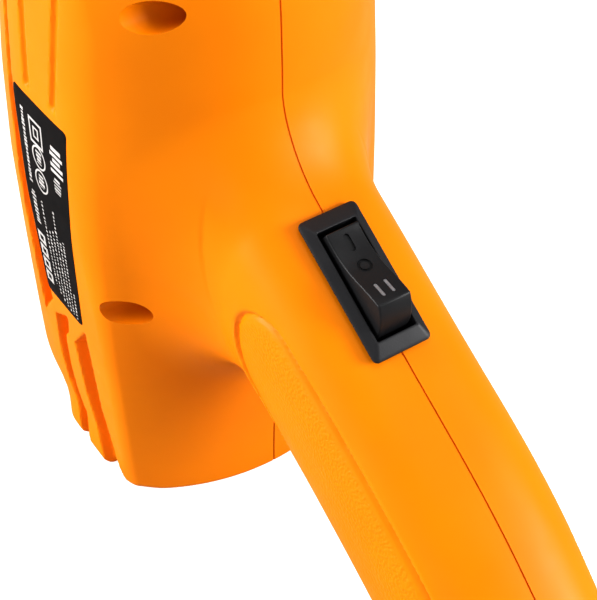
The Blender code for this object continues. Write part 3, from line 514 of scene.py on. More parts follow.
# ---------------------------------------------------------------- mesh helpers
def quad_object(name, points, quads):
    """Make an object from points in millimetres and quads."""
    mesh = bpy.data.meshes.new(name)
    mesh.vertices.add(len(points))
    mesh.vertices.foreach_set("co", (points * MM).astype(np.float32).ravel())
    mesh.loops.add(quads.size)
    mesh.loops.foreach_set("vertex_index", quads.astype(np.int32).ravel())
    mesh.polygons.add(len(quads))
    mesh.polygons.foreach_set("loop_start", np.arange(0, quads.size, 4, dtype=np.int32))
    mesh.update(calc_edges=True)
    mesh.validate()
    obj = bpy.data.objects.new(name, mesh)
    bpy.context.scene.collection.objects.link(obj)
    return obj


def add_object(name, bm, smooth=True, angle=35.0):
    """Make an object from a bmesh in millimetres."""
    bmesh.ops.scale(bm, vec=(MM, MM, MM), verts=bm.verts)
    bmesh.ops.recalc_face_normals(bm, faces=bm.faces)
    mesh = bpy.data.meshes.new(name)
    bm.to_mesh(mesh)
    bm.free()
    obj = bpy.data.objects.new(name, mesh)
    bpy.context.scene.collection.objects.link(obj)
    if smooth:
        shade(obj, angle)
    return obj


def shade(obj, angle):
    """Smooth the faces, keeping edges sharper than the angle."""
    obj.data.polygons.foreach_set("use_smooth", [True] * len(obj.data.polygons))
    obj.data.set_sharp_from_angle(angle=math.radians(angle))


def cut_away(obj, tool, solver="MANIFOLD"):
    """Cut a tool out of an object and remove the tool."""
    mod = obj.modifiers.new("cut", "BOOLEAN")
    mod.operation = "DIFFERENCE"
    mod.solver = solver
    mod.object = tool
    apply_modifiers(obj)
    bpy.data.objects.remove(tool, do_unlink=True)


def apply_modifiers(obj):
    """Bake an object's modifiers into its mesh."""
    graph = bpy.context.evaluated_depsgraph_get()
    made = bpy.data.meshes.new_from_object(obj.evaluated_get(graph))
    obj.modifiers.clear()
    old = obj.data
    obj.data = made
    bpy.data.meshes.remove(old)


def bevel(obj, width, segments, angle):
    """Round an object's edges that are sharper than the angle."""
    mod = obj.modifiers.new("bevel", "BEVEL")
    mod.width = width * MM
    mod.segments = segments
    mod.limit_method = "ANGLE"
    mod.angle_limit = math.radians(angle)
    apply_modifiers(obj)


def skin(bm, rings, closed=False):
    """Skin a list of rings into a bmesh, capping the ends unless it is a loop."""
    rows = [[bm.verts.new(p) for p in ring] for ring in rings]
    pairs = list(zip(rows, rows[1:]))
    if closed:
        pairs.append((rows[-1], rows[0]))
    for low, high in pairs:
        for k in range(len(low)):
            j = (k + 1) % len(low)
            bm.faces.new((low[k], low[j], high[j], high[k]))
    if not closed:
        bm.faces.new(rows[0][::-1])
        bm.faces.new(rows[-1])
    return bm


def rounded(points, radius, steps=4):
    """Round the corners of a closed loop of flat points."""
    out = []
    n = len(points)
    for k in range(n):
        p0, p1, p2 = (Vector(points[(k + d) % n]) for d in (-1, 0, 1))
        a = p0 - p1
        b = p2 - p1
        cut = min(radius, a.length * 0.45, b.length * 0.45)
        a = p1 + a.normalized() * cut
        b = p1 + b.normalized() * cut
        for i in range(steps + 1):
            t = i / steps
            out.append(tuple((a * (1 - t) + p1 * t) * (1 - t) + (p1 * (1 - t) + b * t) * t))
    return out


def circle(radius, sides):
    """Points (a, b) evenly spaced round a circle."""
    turns = [2 * math.pi * k / sides for k in range(sides)]
    return [(radius * math.cos(a), radius * math.sin(a)) for a in turns]


def cylinder(bm, start, end, radius, sides):
    """Add a capped cylinder to a bmesh."""
    start, end = Vector(start), Vector(end)
    along = (end - start).normalized()
    guess = Vector((0, 1, 0)) if abs(along.y) < 0.9 else Vector((1, 0, 0))
    side = along.cross(guess).normalized()
    up = along.cross(side)
    skin(bm, [[p + side * a + up * b for a, b in circle(radius, sides)] for p in (start, end)])


def switch_matrix():
    """Placement of the switch's own frame, in millimetres."""
    return Matrix.Translation(SWITCH_CENTRE) @ Matrix.Rotation(SWITCH_SLOPE, 4, "Y")


# ---------------------------------------------------------------- housing
def rear_outline(inset, count=160):
    """Outline of the barrel's rear edge pulled in by an inset."""
    turn = 2 * np.pi * np.arange(count) / count
    r = np.full(count, 30.0)
    for _ in range(12):
        r -= (barrel(r * np.cos(turn), r * np.sin(turn), np.zeros(count)) + inset) * 0.9
    return list(zip((r * np.cos(turn)).tolist(), (r * np.sin(turn)).tolist()))


def housing_cutters():
    """One object holding every opening and screw pocket; each runs out past the surface."""
    bm = bmesh.new()
    cylinder(bm, (0, 0, BARREL_TOP - 17), (0, 0, BARREL_TOP + 23), MOUTH_RADIUS, 128)
    ring = rear_outline(REAR_LIP)
    skin(bm, [[(x, y, z) for x, y in ring] for z in (-3.0, REAR_WALL + REAR_RECESS)])
    mid = Vector(CORD_HOLE)
    axis = Vector((math.cos(CORD_SLOPE), 0, -math.sin(CORD_SLOPE)))
    cylinder(bm, mid - axis * 6, mid + axis * 16, CORD_HOLE_RADIUS, 64)
    for px, pz in POCKETS:
        stretch = LOW_POCKET_REACH / POCKET_RADIUS if (px, pz) == POCKETS[1] else 1.0
        ring = [(px + a * stretch, pz + b) for a, b in circle(POCKET_RADIUS, 64)]
        skin(bm, [[(x, y, z) for x, z in ring] for y in (-SIDE_CLEAR, SEAT_Y)])
    place = switch_matrix()
    half_x, half_y = SWITCH_HOLE
    ring = [(-half_x, -half_y), (half_x, -half_y), (half_x, half_y), (-half_x, half_y)]
    skin(bm, [[place @ Vector((x, y, z)) for x, y in ring] for z in (-12.0, 3.0)])
    return add_object("openings", bm, smooth=False)


def slab(name, y0, y1):
    """A box wider than the housing between two Y values, for cutting the halves."""
    bm = bmesh.new()
    bmesh.ops.create_cube(bm, size=1.0)
    bmesh.ops.scale(bm, vec=(SLAB_SIZE, y1 - y0, SLAB_SIZE), verts=bm.verts)
    bmesh.ops.translate(bm, vec=(SLAB_X, (y0 + y1) / 2, SLAB_Z), verts=bm.verts)
    return add_object(name, bm, smooth=False)


def build_housing():
    """Build both halves of the housing as fine shells."""
    shell = quad_object("housing_left_shell", *net_mesh(outer_field, *OUTER_BOX, SKIN_STEP))
    cut_away(shell, quad_object("space", *net_mesh(inner_field, *INNER_BOX, INNER_STEP)))
    cut_away(shell, housing_cutters())
    right = shell.copy()
    right.data = shell.data.copy()
    right.name = "housing_right_shell"
    bpy.context.scene.collection.objects.link(right)
    cut_away(shell, slab("near", -SPLIT_GAP / 2, SIDE_CLEAR))
    cut_away(right, slab("far", -SIDE_CLEAR, SPLIT_GAP / 2))
    for half, node in ((shell, "housing_left"), (right, "housing_right")):
        shade(half, SHELL_ANGLE)
        mark_grip(half)
        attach(half, "gun")
        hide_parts(node)
    return shell, right


SEAM_START = (-38.0, 60.0)
SEAM_LIMIT = 1500


def seam_probe(x, z, h=0.05):
    """Depth below the tongue's outer line and the unit slope, in the parting plane."""
    xs = np.array([x, x + h, x - h, x, x])
    zs = np.array([z, z, z, z + h, z - h])
    f = outer_field(xs, np.zeros(len(xs)), zs)
    gx, gz = (f[1] - f[2]) / (2 * h), (f[3] - f[4]) / (2 * h)
    size = math.hypot(gx, gz) + 1e-9
    return f[0] + TONGUE_DEPTH, gx / size, gz / size


def seam_outline(step=1.0):
    """Points along the housing's outline in the parting plane, just under the surface."""
    x, z = SEAM_START
    out = []
    while len(out) < SEAM_LIMIT:
        for _ in range(2):
            away, gx, gz = seam_probe(x, z)
            x -= gx * away
            z -= gz * away
        out.append((x, z, gx, gz))
        if len(out) > 50 and math.hypot(x - out[0][0], z - out[0][1]) < step * 0.9:
            break
        x += gz * step
        z -= gx * step
    return out


def at_opening(x, z):
    """True where the outline crosses the mouth, the intake, the switch or the cord."""
    mouth = z > BARREL_TOP - 3.5 and abs(x) < MOUTH_RADIUS + 0.5
    intake = z < REAR_WALL + 1.0 and -30.0 < x < 33.8
    switch = math.hypot(x - SWITCH_CENTRE[0], z - SWITCH_CENTRE[2]) < SWITCH_REACH
    cord = math.hypot(x - CORD_SEAM_END[0], z - CORD_SEAM_END[1]) < CORD_SEAM_REACH
    return mouth or intake or switch or cord


def build_seam_tongue():
    """Narrow lip that closes the parting line below the surface."""
    bm = bmesh.new()
    run = []
    half = SPLIT_GAP / 2 - 0.01
    for x, z, gx, gz in seam_outline():
        if not at_opening(x, z):
            ix, iz = x - gx * TONGUE_THICK, z - gz * TONGUE_THICK
            run.append([Vector((x, half, z)), Vector((x, -half, z)),
                        Vector((ix, -half, iz)), Vector((ix, half, iz))])
            continue
        if len(run) > 2:
            skin(bm, run)
        run = []
    if len(run) > 2:
        skin(bm, run)
    tongue = add_object("housing_tongue", bm)
    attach(tongue, "gun")
    return tongue


def mark_grip(obj):
    """Store how much of the grip's grain each point carries."""
    count = len(obj.data.vertices)
    co = np.empty(count * 3, np.float32)
    obj.data.vertices.foreach_get("co", co)
    p = co.reshape(-1, 3).astype(float) / MM
    grain = np.zeros(count)
    on = p[:, 0] > GRAIN_FROM
    _, s, v = handle_parts(p[on, 0], p[on, 1], p[on, 2])
    grain[on] = smooth01(0.5 - (pad_field(s, v) + PAD_INSET) / 1.2)
    grain[on] *= np.abs(p[on, 1]) > GRAIN_SIDE
    grain[on] *= GRAIN_REAR + (1.0 - GRAIN_REAR) * ramp(v, *GRAIN_FADE)
    layer = obj.data.attributes.new("grip", "FLOAT", "POINT")
    layer.data.foreach_set("value", grain.astype(np.float32))


# ---------------------------------------------------------------- switch
SOFT_ANGLE = 24.0  # edges sharper than this stay sharp on the switch


def rounded_box_ring(half_x, half_y, radius, z, steps=6):
    """Rounded rectangle at one height."""
    ring = []
    for quarter, (sx, sy) in enumerate(((1, 1), (-1, 1), (-1, -1), (1, -1))):
        for k in range(steps + 1):
            a = math.pi / 2 * (quarter + k / steps)
            ring.append(Vector((sx * (half_x - radius) + radius * math.cos(a),
                                sy * (half_y - radius) + radius * math.sin(a), z)))
    return ring


FRAME_ROWS = (  # half length, half width, corner radius, height
    (12.6, 4.75, 0.30, -11.5), (12.6, 4.75, 0.30, 1.50), (12.66, 4.81, 0.34, 1.64),
    (12.80, 4.95, 0.42, 1.70), (13.10, 5.25, 0.55, 1.68), (13.35, 5.45, 0.65, 1.58),
    (15.60, 6.50, 1.00, 0.80), (15.95, 6.80, 1.10, 0.62), (16.20, 7.02, 1.20, 0.42),
    (16.30, 7.10, 1.25, 0.20), (16.30, 7.10, 1.25, 0.02), (13.40, 5.70, 0.80, 0.02),
    (13.40, 5.70, 0.80, -16.8), (13.20, 5.50, 0.70, -17.0),
)


def build_switch_frame():
    """Snap-in frame with sloping borders round the rocker's well."""
    place = switch_matrix()
    rings = [[place @ p for p in rounded_box_ring(*row)] for row in FRAME_ROWS]
    obj = add_object("switch_frame_body", skin(bmesh.new(), rings), angle=SOFT_ANGLE)
    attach(obj, "gun")
    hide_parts("switch_frame")
    return obj


ROCKER_TOP = ((-11.25, 3.45), (-10.2, 3.2), (-8.0, 3.02), (-6.0, 3.1), (-4.0, 3.45),
              (-2.0, 4.05), (0.0, 4.95), (2.0, 5.98), (4.0, 6.95), (5.6, 7.62), (7.2, 8.25))
ROCKER_RADIUS = 11.75
ROCKER_HALF = 3.95
ROCKER_FLOOR = -4.6
ROCKER_HEEL = ((-11.2, ROCKER_FLOOR), (-11.6, -0.5))
ROCKER_ROUND = 0.42


def rocker_profile():
    """Side outline of the rocker, resting with its first end pressed in."""
    points = list(ROCKER_TOP)
    start = math.atan2(ROCKER_TOP[-1][1] + PIVOT_DEPTH, ROCKER_TOP[-1][0])
    stop = math.asin((ROCKER_FLOOR + PIVOT_DEPTH) / ROCKER_RADIUS)
    for k in range(1, 9):
        a = start + (stop - start) * k / 8
        points.append((ROCKER_RADIUS * math.cos(a), ROCKER_RADIUS * math.sin(a) - PIVOT_DEPTH))
    return points + list(ROCKER_HEEL)


def top_place(s):
    """Placement on the rocker's top at s: X along it, Z out of it."""
    xs = [p[0] for p in ROCKER_TOP]
    zs = [p[1] for p in ROCKER_TOP]
    rise = float(np.interp(s + 0.8, xs, zs) - np.interp(s - 0.8, xs, zs)) / 1.6
    here = Vector((s, 0.0, float(np.interp(s, xs, zs))))
    return Matrix.Translation(here) @ Matrix.Rotation(-math.atan(rise), 4, "Y")


def bar_outline(half_length, half_width, steps=8):
    """Round-ended bar outline."""
    ring = []
    for side in (1, -1):
        for k in range(steps + 1):
            a = math.pi * (k / steps - 0.5)
            ring.append((side * (half_length - half_width + half_width * math.cos(a)),
                         side * half_width * math.sin(a)))
    return ring


# Bars: place along, place across, half length, half width.  Ring: place, outer, inner.
MARK_BARS = ((-7.9, 0.0, 2.0, 0.72), (3.95, -1.2, 1.85, 0.42), (3.95, 1.2, 1.85, 0.42))
MARK_RING = (-2.2, 1.65, 0.95)
MARK_CUT = (-0.34, 2.0)
MARK_PAINT = (-0.40, -0.16)
MARK_GAP = 0.04


def mark_prism(bm, s, y, half_length, half_width, heights):
    """Bar standing between two heights over the rocker's top surface."""
    place = switch_matrix() @ top_place(s)
    ring = bar_outline(half_length, half_width)
    skin(bm, [[place @ Vector((a, b + y, z)) for a, b in ring] for z in heights])


def mark_ring(bm, heights):
    """Ring standing between two heights over the rocker's top surface."""
    s, outer, inner = MARK_RING
    low, high = heights
    place = switch_matrix() @ top_place(s)
    rings = []
    for radius, z in ((outer, low), (outer, high), (inner, high), (inner, low)):
        rings.append([place @ Vector((a, b, z)) for a, b in circle(radius, 40)])
    skin(bm, rings, closed=True)


def build_rocker():
    """Two-way rocker with sunk marks for its three positions."""
    place = switch_matrix()
    profile = rocker_profile()
    rings = [[place @ Vector((a, y, b)) for a, b in profile] for y in (-ROCKER_HALF, ROCKER_HALF)]
    rocker = add_object("rocker_body", skin(bmesh.new(), rings), angle=SOFT_ANGLE)
    bevel(rocker, ROCKER_ROUND, 4, SOFT_ANGLE)
    cuts = bmesh.new()
    for s, y, half_length, half_width in MARK_BARS:
        mark_prism(cuts, s, y, half_length, half_width, MARK_CUT)
    mark_ring(cuts, MARK_CUT)
    cut_away(rocker, add_object("mark_cuts", cuts, smooth=False), solver="EXACT")
    shade(rocker, SOFT_ANGLE)
    inlay = bmesh.new()
    for s, y, half_length, half_width in MARK_BARS[1:]:
        mark_prism(inlay, s, y, half_length - MARK_GAP, half_width - MARK_GAP, MARK_PAINT)
    paint = add_object("rocker_marks", inlay)
    for obj in (rocker, paint):
        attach(obj, "rocker")
    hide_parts("switch_rocker")
    return rocker, paint


# ---------------------------------------------------------------- label
def label_point(a, b):
    """Point (x, z) on the side panel for label fractions a down and b across."""
    (x0, z0), (x1, z1), (x2, z2), (x3, z3) = LABEL_CORNERS
    top = (x0 + (x1 - x0) * b, z0 + (z1 - z0) * b)
    low = (x3 + (x2 - x3) * b, z3 + (z2 - z3) * b)
    return top[0] + (low[0] - top[0]) * a, top[1] + (low[1] - top[1]) * a


def panel_points(flat, rise):
    """Lift (x, z) points onto the plain side panel at a rise above it."""
    p = np.array(flat, float)
    y = np.full(len(p), float(OUTER_BOX[0][1]))
    for _ in range(14):
        y += np.maximum(body_form(p[:, 0], y, p[:, 1]) - rise, -2.0) * 0.95
    return [Vector((p[k, 0], y[k], p[k, 1])) for k in range(len(p))]


def label_outline():
    """Outline of the label with rounded corners, sampled finely."""
    ring = rounded(list(LABEL_CORNERS), LABEL_RADIUS, 6)
    fine = []
    for k in range(len(ring)):
        p0, p1 = Vector(ring[k]), Vector(ring[(k + 1) % len(ring)])
        count = max(1, int((p1 - p0).length / 2.0))
        for i in range(count):
            fine.append(p0 + (p1 - p0) * i / count)
    return fine


def build_label():
    """Rating label bent to the side panel, with generic print."""
    ring = label_outline()
    middle = sum(ring, Vector((0, 0))) / len(ring)
    rows = []
    for share, rise in ((1.0, LABEL_ROOT), (1.0, PRINT_ROOT), (LABEL_SHARE, LABEL_RISE)):
        rows.append(panel_points([middle + (p - middle) * share for p in ring], rise))
    for step in range(1, LABEL_RINGS):
        share = LABEL_SHARE * (1 - step / LABEL_RINGS)
        rows.append(panel_points([middle + (p - middle) * share for p in ring], LABEL_RISE))
    label = add_object("label_film", skin(bmesh.new(), rows))
    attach(label, "gun")
    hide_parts("rating_label")
    bm = bmesh.new()
    for loops in print_shapes():
        add_print(bm, loops)
    ink = add_object("label_print", bm)
    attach(ink, "gun")
    return label, ink


def add_print(bm, loop):
    """Thin closed plate over a loop of label fractions (a pair of loops makes a ring)."""
    if isinstance(loop, tuple):
        outer, inner = ([label_point(*p) for p in ring] for ring in loop)
        rows = [panel_points(outer, PRINT_ROOT), panel_points(outer, PRINT_RISE),
                panel_points(inner, PRINT_RISE), panel_points(inner, PRINT_ROOT)]
        skin(bm, rows, closed=True)
        return
    flat = [label_point(*p) for p in loop]
    skin(bm, [panel_points(flat, PRINT_ROOT), panel_points(flat, PRINT_RISE)])


def box_loop(a0, a1, b0, b1):
    """Loop of label fractions round a rectangle."""
    return [(a0, b0), (a1, b0), (a1, b1), (a0, b1)]


def oval_loop(a, b, half_a, half_b, sides=28):
    """Loop of label fractions round an oval."""
    return [(a + half_a * p, b + half_b * q) for p, q in circle(1.0, sides)]


def dashes(rng, a0, a1, b, height, low, high, gap):
    """Row of dashes of varied length and height standing for a line of print."""
    out = []
    a = a0
    while a < a1:
        length = min(low + (high - low) * rng.random(), a1 - a)
        tall = height * (0.3 + 0.2 * rng.random())
        out.append(box_loop(a, a + length, b - tall, b + tall))
        a += length + gap * (0.7 + 0.6 * rng.random())
    return out


def print_shapes():
    """Generic print: plain squares, rings and dashes, with no words or marks."""
    rng = np.random.default_rng(5)
    shapes = dashes(rng, 0.075, 0.42, 0.16, 0.065, 0.006, 0.016, 0.007)
    shapes.append((box_loop(0.080, 0.195, 0.29, 0.55), box_loop(0.091, 0.184, 0.315, 0.525)))
    shapes.append((box_loop(0.112, 0.163, 0.365, 0.475), box_loop(0.120, 0.155, 0.388, 0.452)))
    for a in (0.248, 0.360):
        shapes.append((oval_loop(a, 0.43, 0.053, 0.140), oval_loop(a, 0.43, 0.045, 0.117)))
        shapes += dashes(rng, a - 0.028, a + 0.028, 0.43, 0.13, 0.008, 0.014, 0.006)
    shapes += dashes(rng, 0.115, 0.245, 0.81, 0.24, 0.013, 0.020, 0.010)
    shapes += dashes(rng, 0.262, 0.330, 0.80, 0.16, 0.006, 0.012, 0.008)
    shapes += dashes(rng, 0.46, 0.62, 0.17, 0.11, 0.008, 0.016, 0.008)
    for k in range(4):
        a = 0.675 + 0.068 * k
        inner = box_loop(a + 0.014, a + 0.040, 0.11, 0.20)
        shapes.append((box_loop(a, a + 0.054, 0.06, 0.25), inner))
    for b, a0, a1 in ((0.36, 0.47, 0.90), (0.45, 0.60, 0.94), (0.54, 0.58, 0.96),
                      (0.63, 0.46, 0.97), (0.71, 0.60, 0.98), (0.79, 0.58, 0.98),
                      (0.88, 0.84, 0.985)):
        shapes += dashes(rng, a0, a1, b, 0.042, 0.004, 0.013, 0.010)
    return shapes


# ---------------------------------------------------------------- materials
class Nodes:
    """Small helper that adds and links shader nodes."""

    def __init__(self, name):
        self.mat = bpy.data.materials.new(name)
        self.mat.use_nodes = True
        self.tree = self.mat.node_tree
        self.shader = self.tree.nodes["Principled BSDF"]
        self.coords = self.add("ShaderNodeTexCoord").outputs["Object"]

    def add(self, kind, **settings):
        node = self.tree.nodes.new(kind)
        for key, value in settings.items():
            setattr(node, key, value)
        return node

    def link(self, a, b):
        self.tree.links.new(a, b)

    def put(self, socket, value):
        """Set a socket to a number or a colour, or link an output to it."""
        if isinstance(value, tuple):
            socket.default_value = (*value, 1.0)
        elif isinstance(value, (int, float)):
            socket.default_value = value
        else:
            self.link(value, socket)

    def noise(self, scale, detail=4.0, rough=0.5, coords=None):
        node = self.add("ShaderNodeTexNoise")
        node.inputs["Scale"].default_value = scale
        node.inputs["Detail"].default_value = detail
        node.inputs["Roughness"].default_value = rough
        self.link(coords or self.coords, node.inputs["Vector"])
        return node.outputs["Fac"]

    def stretch(self, scale):
        node = self.add("ShaderNodeMapping")
        node.inputs["Scale"].default_value = scale
        self.link(self.coords, node.inputs["Vector"])
        return node.outputs["Vector"]

    def remap(self, value, low, high, lo=0.0, hi=1.0):
        node = self.add("ShaderNodeMapRange")
        node.inputs["From Min"].default_value = lo
        node.inputs["From Max"].default_value = hi
        node.inputs["To Min"].default_value = low
        node.inputs["To Max"].default_value = high
        self.link(value, node.inputs["Value"])
        return node.outputs["Result"]

    def math(self, operation, a, b):
        node = self.add("ShaderNodeMath", operation=operation)
        self.put(node.inputs[0], a)
        self.put(node.inputs[1], b)
        return node.outputs["Value"]

    def mix(self, fac, a, b):
        node = self.add("ShaderNodeMix", data_type="RGBA")
        self.put(node.inputs["Factor"], fac)
        for key, value in (("A", a), ("B", b)):
            self.put([s for s in node.inputs if s.name == key and s.type == "RGBA"][0], value)
        return [s for s in node.outputs if s.type == "RGBA"][0]

    def bump(self, height, strength, distance, normal=None):
        node = self.add("ShaderNodeBump")
        node.inputs["Distance"].default_value = distance
        self.put(node.inputs["Strength"], strength)
        self.link(height, node.inputs["Height"])
        if normal is not None:
            self.link(normal, node.inputs["Normal"])
        return node.outputs["Normal"]

    def wear_and_edge_highlight(self):
        """Fraction that rises on convex edges, for edge wear and a painted highlight along them.
        """
        node = self.add("ShaderNodeNewGeometry")
        return self.remap(node.outputs["Pointiness"], 0.0, 1.0, 0.52, 0.62)

    def out(self, key, value):
        """Set or link one of the shader's inputs."""
        self.put(self.shader.inputs[key], value)


def plastic(name, colour, dark, rough, grain=2200.0, bump=0.05, spec=0.5):
    """Moulded plastic with faint mottling and fine surface texture."""
    n = Nodes(name)
    mottling = n.noise(45.0, 3.0)
    n.out("Base Color", n.mix(n.remap(mottling, 0.0, 1.0, 0.35, 0.65), dark, colour))
    n.out("Roughness", n.remap(n.noise(160.0, 5.0), rough - 0.05, rough + 0.05, 0.3, 0.7))
    n.out("Specular IOR Level", spec)
    n.out("Normal", n.bump(n.noise(grain, 3.0), bump, 0.0002))
    return n.mat


def housing_plastic():
    """Orange moulded plastic with a leather grain where the grip is marked."""
    n = Nodes("housing_orange_moulded")
    base = n.mix(n.remap(n.noise(30.0, 3.0), 0.0, 1.0, 0.35, 0.65),
                 (0.80, 0.228, 0.0), (0.83, 0.248, 0.0))
    # Lighter orange mixed in on convex edges: partly edge wear, partly a painted highlight along
    # the ridges.
    n.out("Base Color", n.mix(n.math("MULTIPLY", n.wear_and_edge_highlight(), 0.18), base, (0.93, 0.36, 0.05)))
    attr = n.add("ShaderNodeAttribute", attribute_name="grip").outputs["Fac"]
    cells = n.add("ShaderNodeTexVoronoi", feature="SMOOTH_F1")
    cells.inputs["Scale"].default_value = 1500.0
    warp = n.add("ShaderNodeVectorMath", operation="ADD")
    small = n.add("ShaderNodeTexNoise")
    small.inputs["Scale"].default_value = 700.0
    n.link(n.coords, small.inputs["Vector"])
    scaled = n.add("ShaderNodeVectorMath", operation="SCALE")
    scaled.inputs["Scale"].default_value = 0.0009
    n.link(small.outputs["Color"], scaled.inputs[0])
    n.link(n.coords, warp.inputs[0])
    n.link(scaled.outputs[0], warp.inputs[1])
    n.link(warp.outputs[0], cells.inputs["Vector"])
    fine = n.bump(n.noise(2600.0, 2.0), 0.035, 0.0002)
    height = n.math("MULTIPLY", cells.outputs["Distance"], attr)
    n.out("Normal", n.bump(height, 0.5, 0.0005, fine))
    rough = n.remap(n.noise(140.0, 5.0), 0.36, 0.44, 0.3, 0.7)
    n.out("Roughness", n.math("ADD", rough, n.math("MULTIPLY", attr, 0.10)))
    n.out("Specular IOR Level", 0.11)
    return n.mat


def metal(name, colour, rough, brushed=None, bump=0.04):
    """Bare metal, brushed along the direction given by stretched noise."""
    n = Nodes(name)
    coords = n.stretch(brushed) if brushed else None
    lines = n.noise(900.0, 4.0, 0.6, coords)
    n.out("Base Color", n.mix(lines, tuple(c * 0.82 for c in colour), colour))
    n.out("Metallic", 1.0)
    n.out("Roughness", n.remap(lines, rough - 0.08, rough + 0.1, 0.3, 0.7))
    n.out("Normal", n.bump(lines, bump, 0.0001))
    return n.mat


def nozzle_steel():
    """Stainless tube, brushed round its axis and heat-tinted towards the outlet."""
    n = Nodes("nozzle_steel_brushed")
    lines = n.noise(60.0, 4.0, 0.5, n.stretch((1.0, 1.0, 220.0)))
    sep = n.add("ShaderNodeSeparateXYZ")
    n.link(n.coords, sep.inputs[0])
    tint = n.add("ShaderNodeValToRGB")
    stops = tint.color_ramp.elements
    stops[0].color = (0.60, 0.59, 0.57, 1)
    stops[1].color = (0.42, 0.40, 0.46, 1)
    for place, colour in ((0.45, (0.60, 0.58, 0.54)), (0.66, (0.66, 0.56, 0.36)),
                          (0.80, (0.52, 0.34, 0.26)), (0.90, (0.30, 0.27, 0.42))):
        stops.new(place).color = (*colour, 1)
    wave = n.math("ADD", sep.outputs["Z"], n.math("MULTIPLY", n.noise(60.0, 3.0), 0.006))
    n.link(n.remap(wave, 0.0, 1.0, 0.18, 0.252), tint.inputs["Fac"])
    stain = n.remap(n.noise(35.0, 4.0), 0.0, 0.5, 0.45, 0.75)
    n.out("Base Color", n.mix(n.math("MULTIPLY", stain, 0.5), tint.outputs["Color"],
                              (0.34, 0.31, 0.28)))
    n.out("Metallic", 1.0)
    n.out("Roughness", n.remap(lines, 0.24, 0.34, 0.3, 0.7))
    n.out("Normal", n.bump(lines, 0.03, 0.0001))
    return n.mat


def build_materials():
    """One procedural material for each of the record's slots."""
    return {
        "housing_orange": housing_plastic(),
        "switch_black": plastic("switch_black_moulded", (0.020, 0.020, 0.022),
                                (0.015, 0.015, 0.017), 0.46, 3200.0, 0.12, 0.30),
        "rocker_grey": plastic("rocker_grey_moulded", (0.016, 0.016, 0.017),
                               (0.012, 0.012, 0.013), 0.42, 3600.0, 0.10, 0.26),
        "heat_guard_black": plastic("heat_guard_moulded", (0.022, 0.022, 0.022),
                                    (0.014, 0.014, 0.014), 0.55, 1500.0, 0.16),
        "nozzle_steel": nozzle_steel(),
        "screw_steel": metal("screw_zinc", (0.56, 0.56, 0.58), 0.34),
        "mica": plastic("mica_sheet", (0.55, 0.46, 0.30), (0.36, 0.29, 0.18), 0.5, 500.0, 0.3),
        "ceramic": plastic("steatite", (0.78, 0.74, 0.66), (0.68, 0.63, 0.54), 0.6, 900.0, 0.2),
        "resistance_wire": metal("resistance_wire_oxidised", (0.40, 0.35, 0.30), 0.42),
        "cord_rubber": plastic("cord_rubber_matt", (0.020, 0.020, 0.021),
                               (0.013, 0.013, 0.014), 0.62, 1400.0, 0.22, 0.35),
        "brass": metal("terminal_brass", (0.78, 0.58, 0.25), 0.3, (1, 8, 8)),
        "ferrite": plastic("ferrite_sintered", (0.06, 0.06, 0.065), (0.04, 0.04, 0.045), 0.6,
                           1800.0, 0.3),
        "lamination": metal("lamination_stack", (0.38, 0.37, 0.36), 0.42, (1, 1, 30), 0.3),
        "board_green": plastic("board_solder_mask", (0.03, 0.17, 0.07), (0.02, 0.11, 0.05), 0.4,
                               700.0, 0.2),
        "lead_blue": plastic("lead_blue_sleeve", (0.03, 0.10, 0.48), (0.02, 0.07, 0.36), 0.42,
                             1600.0, 0.1),
        "lead_red": plastic("lead_red_sleeve", (0.38, 0.05, 0.02), (0.28, 0.03, 0.015), 0.42,
                            1600.0, 0.1),
        "label_black": plastic("label_film", (0.009, 0.007, 0.007), (0.006, 0.005, 0.005), 0.6,
                               1200.0, 0.04, 0.08),
        "print": plastic("print_ink", (0.62, 0.60, 0.58), (0.50, 0.48, 0.46), 0.6, 2500.0, 0.05),
        "mark_paint": plastic("mark_paint", (0.30, 0.30, 0.31), (0.22, 0.22, 0.23), 0.5,
                              2500.0, 0.1),
        "inner_nylon": plastic("inner_nylon_moulded", (0.11, 0.11, 0.115), (0.08, 0.08, 0.085),
                               0.5, 1500.0, 0.15),
    }


def dress_cad(made):
    """Give every CAD node its slot's procedural material."""
    for part in frame["record"]["subparts"]:
        obj = frame["nodes"][part["node"]]
        obj.data.materials.clear()
        obj.data.materials.append(made[part["material_slot"]])


def finish_with(material, *objs):
    """Give new pieces one material."""
    for obj in objs:
        obj.data.materials.clear()
        obj.data.materials.append(material)


# ---------------------------------------------------------------- stage
FLOOR_SIZE = 3.0
FLOOR_GLOW = 0.85
SKY_LIGHT = 0.36
SKY_SEEN = 1.0
GAMMA = 0.82
LIGHTS = (  # name, place, target, size, power
    ("key", (0.82, 0.82, 0.48), (0.06, 0.0, 0.08), 0.50, 19.5),
    ("side", (-0.45, -0.95, 0.45), (0.02, 0.0, 0.06), 0.50, 19.5),
    ("top", (0.15, 0.1, 1.3), (0.03, 0.0, 0.08), 0.80, 4.5),
    ("front", (0.75, -0.85, 0.30), (0.02, 0.0, 0.05), 0.60, 2.0),
)
CAMERA_PLACE = (0.26003, -0.15131, 0.35046)
CAMERA_TURN = (42.46747, -1.72536, 56.2593)  # degrees about X, Y and Z
CAMERA_LENS = 104.72


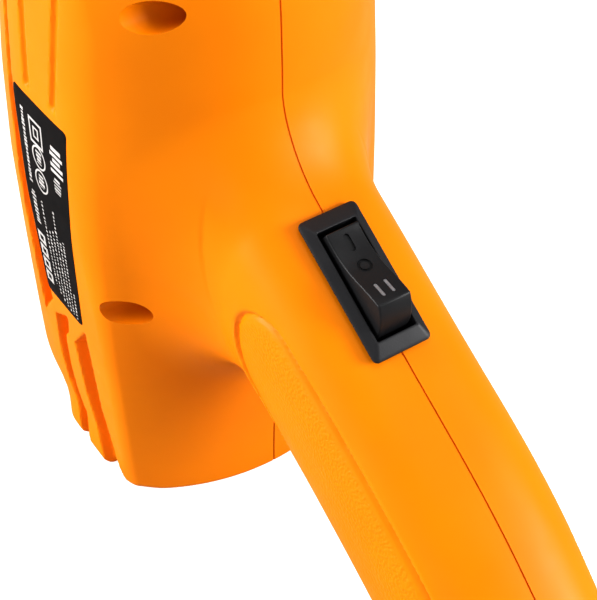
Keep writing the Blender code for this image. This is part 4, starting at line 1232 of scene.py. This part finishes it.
def build_stage():
    """Floor, lights, world and camera."""
    bm = bmesh.new()
    bmesh.ops.create_grid(bm, x_segments=1, y_segments=1, size=FLOOR_SIZE)
    mesh = bpy.data.meshes.new("floor")
    bm.to_mesh(mesh)
    bm.free()
    floor = bpy.data.objects.new("floor", mesh)
    bpy.context.scene.collection.objects.link(floor)
    floor.location.z = min(0.0, CAD_BOX[0][2]) - 0.0001
    n = Nodes("floor_pale")
    n.out("Base Color", n.mix(n.noise(3.0), (0.38, 0.38, 0.38), (0.42, 0.42, 0.42)))
    n.out("Roughness", 0.85)
    seen = n.add("ShaderNodeLightPath").outputs["Is Camera Ray"]
    n.out("Emission Color", (1.0, 1.0, 1.0))
    n.out("Emission Strength", n.math("MULTIPLY", seen, FLOOR_GLOW))
    n.out("Normal", n.bump(n.noise(80.0), 0.02, 0.001))
    floor.data.materials.append(n.mat)
    world = bpy.data.worlds.new("studio")
    world.use_nodes = True
    tree = world.node_tree
    sky = tree.nodes["Background"]
    sky.inputs["Color"].default_value = (1.0, 1.0, 1.0, 1.0)
    strength = tree.nodes.new("ShaderNodeMapRange")
    strength.inputs["To Min"].default_value = SKY_LIGHT
    strength.inputs["To Max"].default_value = SKY_SEEN
    seen = tree.nodes.new("ShaderNodeLightPath").outputs["Is Camera Ray"]
    tree.links.new(seen, strength.inputs["Value"])
    tree.links.new(strength.outputs["Result"], sky.inputs["Strength"])
    bpy.context.scene.world = world
    bpy.context.scene.view_settings.view_transform = "Standard"
    bpy.context.scene.view_settings.gamma = GAMMA
    for light in LIGHTS:
        area(*light)
    camera()


def area(name, place, target, size, power):
    """Add a soft square light aimed at a point."""
    light = bpy.data.lights.new(name, "AREA")
    light.size = size
    light.energy = power
    obj = bpy.data.objects.new(name, light)
    bpy.context.scene.collection.objects.link(obj)
    obj.location = place
    way = Vector(target) - Vector(place)
    obj.rotation_euler = way.to_track_quat("-Z", "Y").to_euler()


def camera():
    """Camera looking down on the barrel and the root of the handle."""
    cam = bpy.data.cameras.new("camera")
    cam.lens = CAMERA_LENS
    cam.sensor_width = 36.0
    cam.clip_start = 0.02
    obj = bpy.data.objects.new("camera", cam)
    bpy.context.scene.collection.objects.link(obj)
    turn = Euler([math.radians(angle) for angle in CAMERA_TURN]).to_matrix().to_4x4()
    obj.matrix_world = Matrix.Translation(CAMERA_PLACE) @ turn
    bpy.context.scene.camera = obj


MADE = build_materials()
dress_cad(MADE)
finish_with(MADE["housing_orange"], *build_housing(), build_seam_tongue())
finish_with(MADE["switch_black"], build_switch_frame())
ROCKER, ROCKER_PAINT = build_rocker()
finish_with(MADE["rocker_grey"], ROCKER)
finish_with(MADE["mark_paint"], ROCKER_PAINT)
LABEL, INK = build_label()
finish_with(MADE["label_black"], LABEL)
finish_with(MADE["print"], INK)
build_stage()
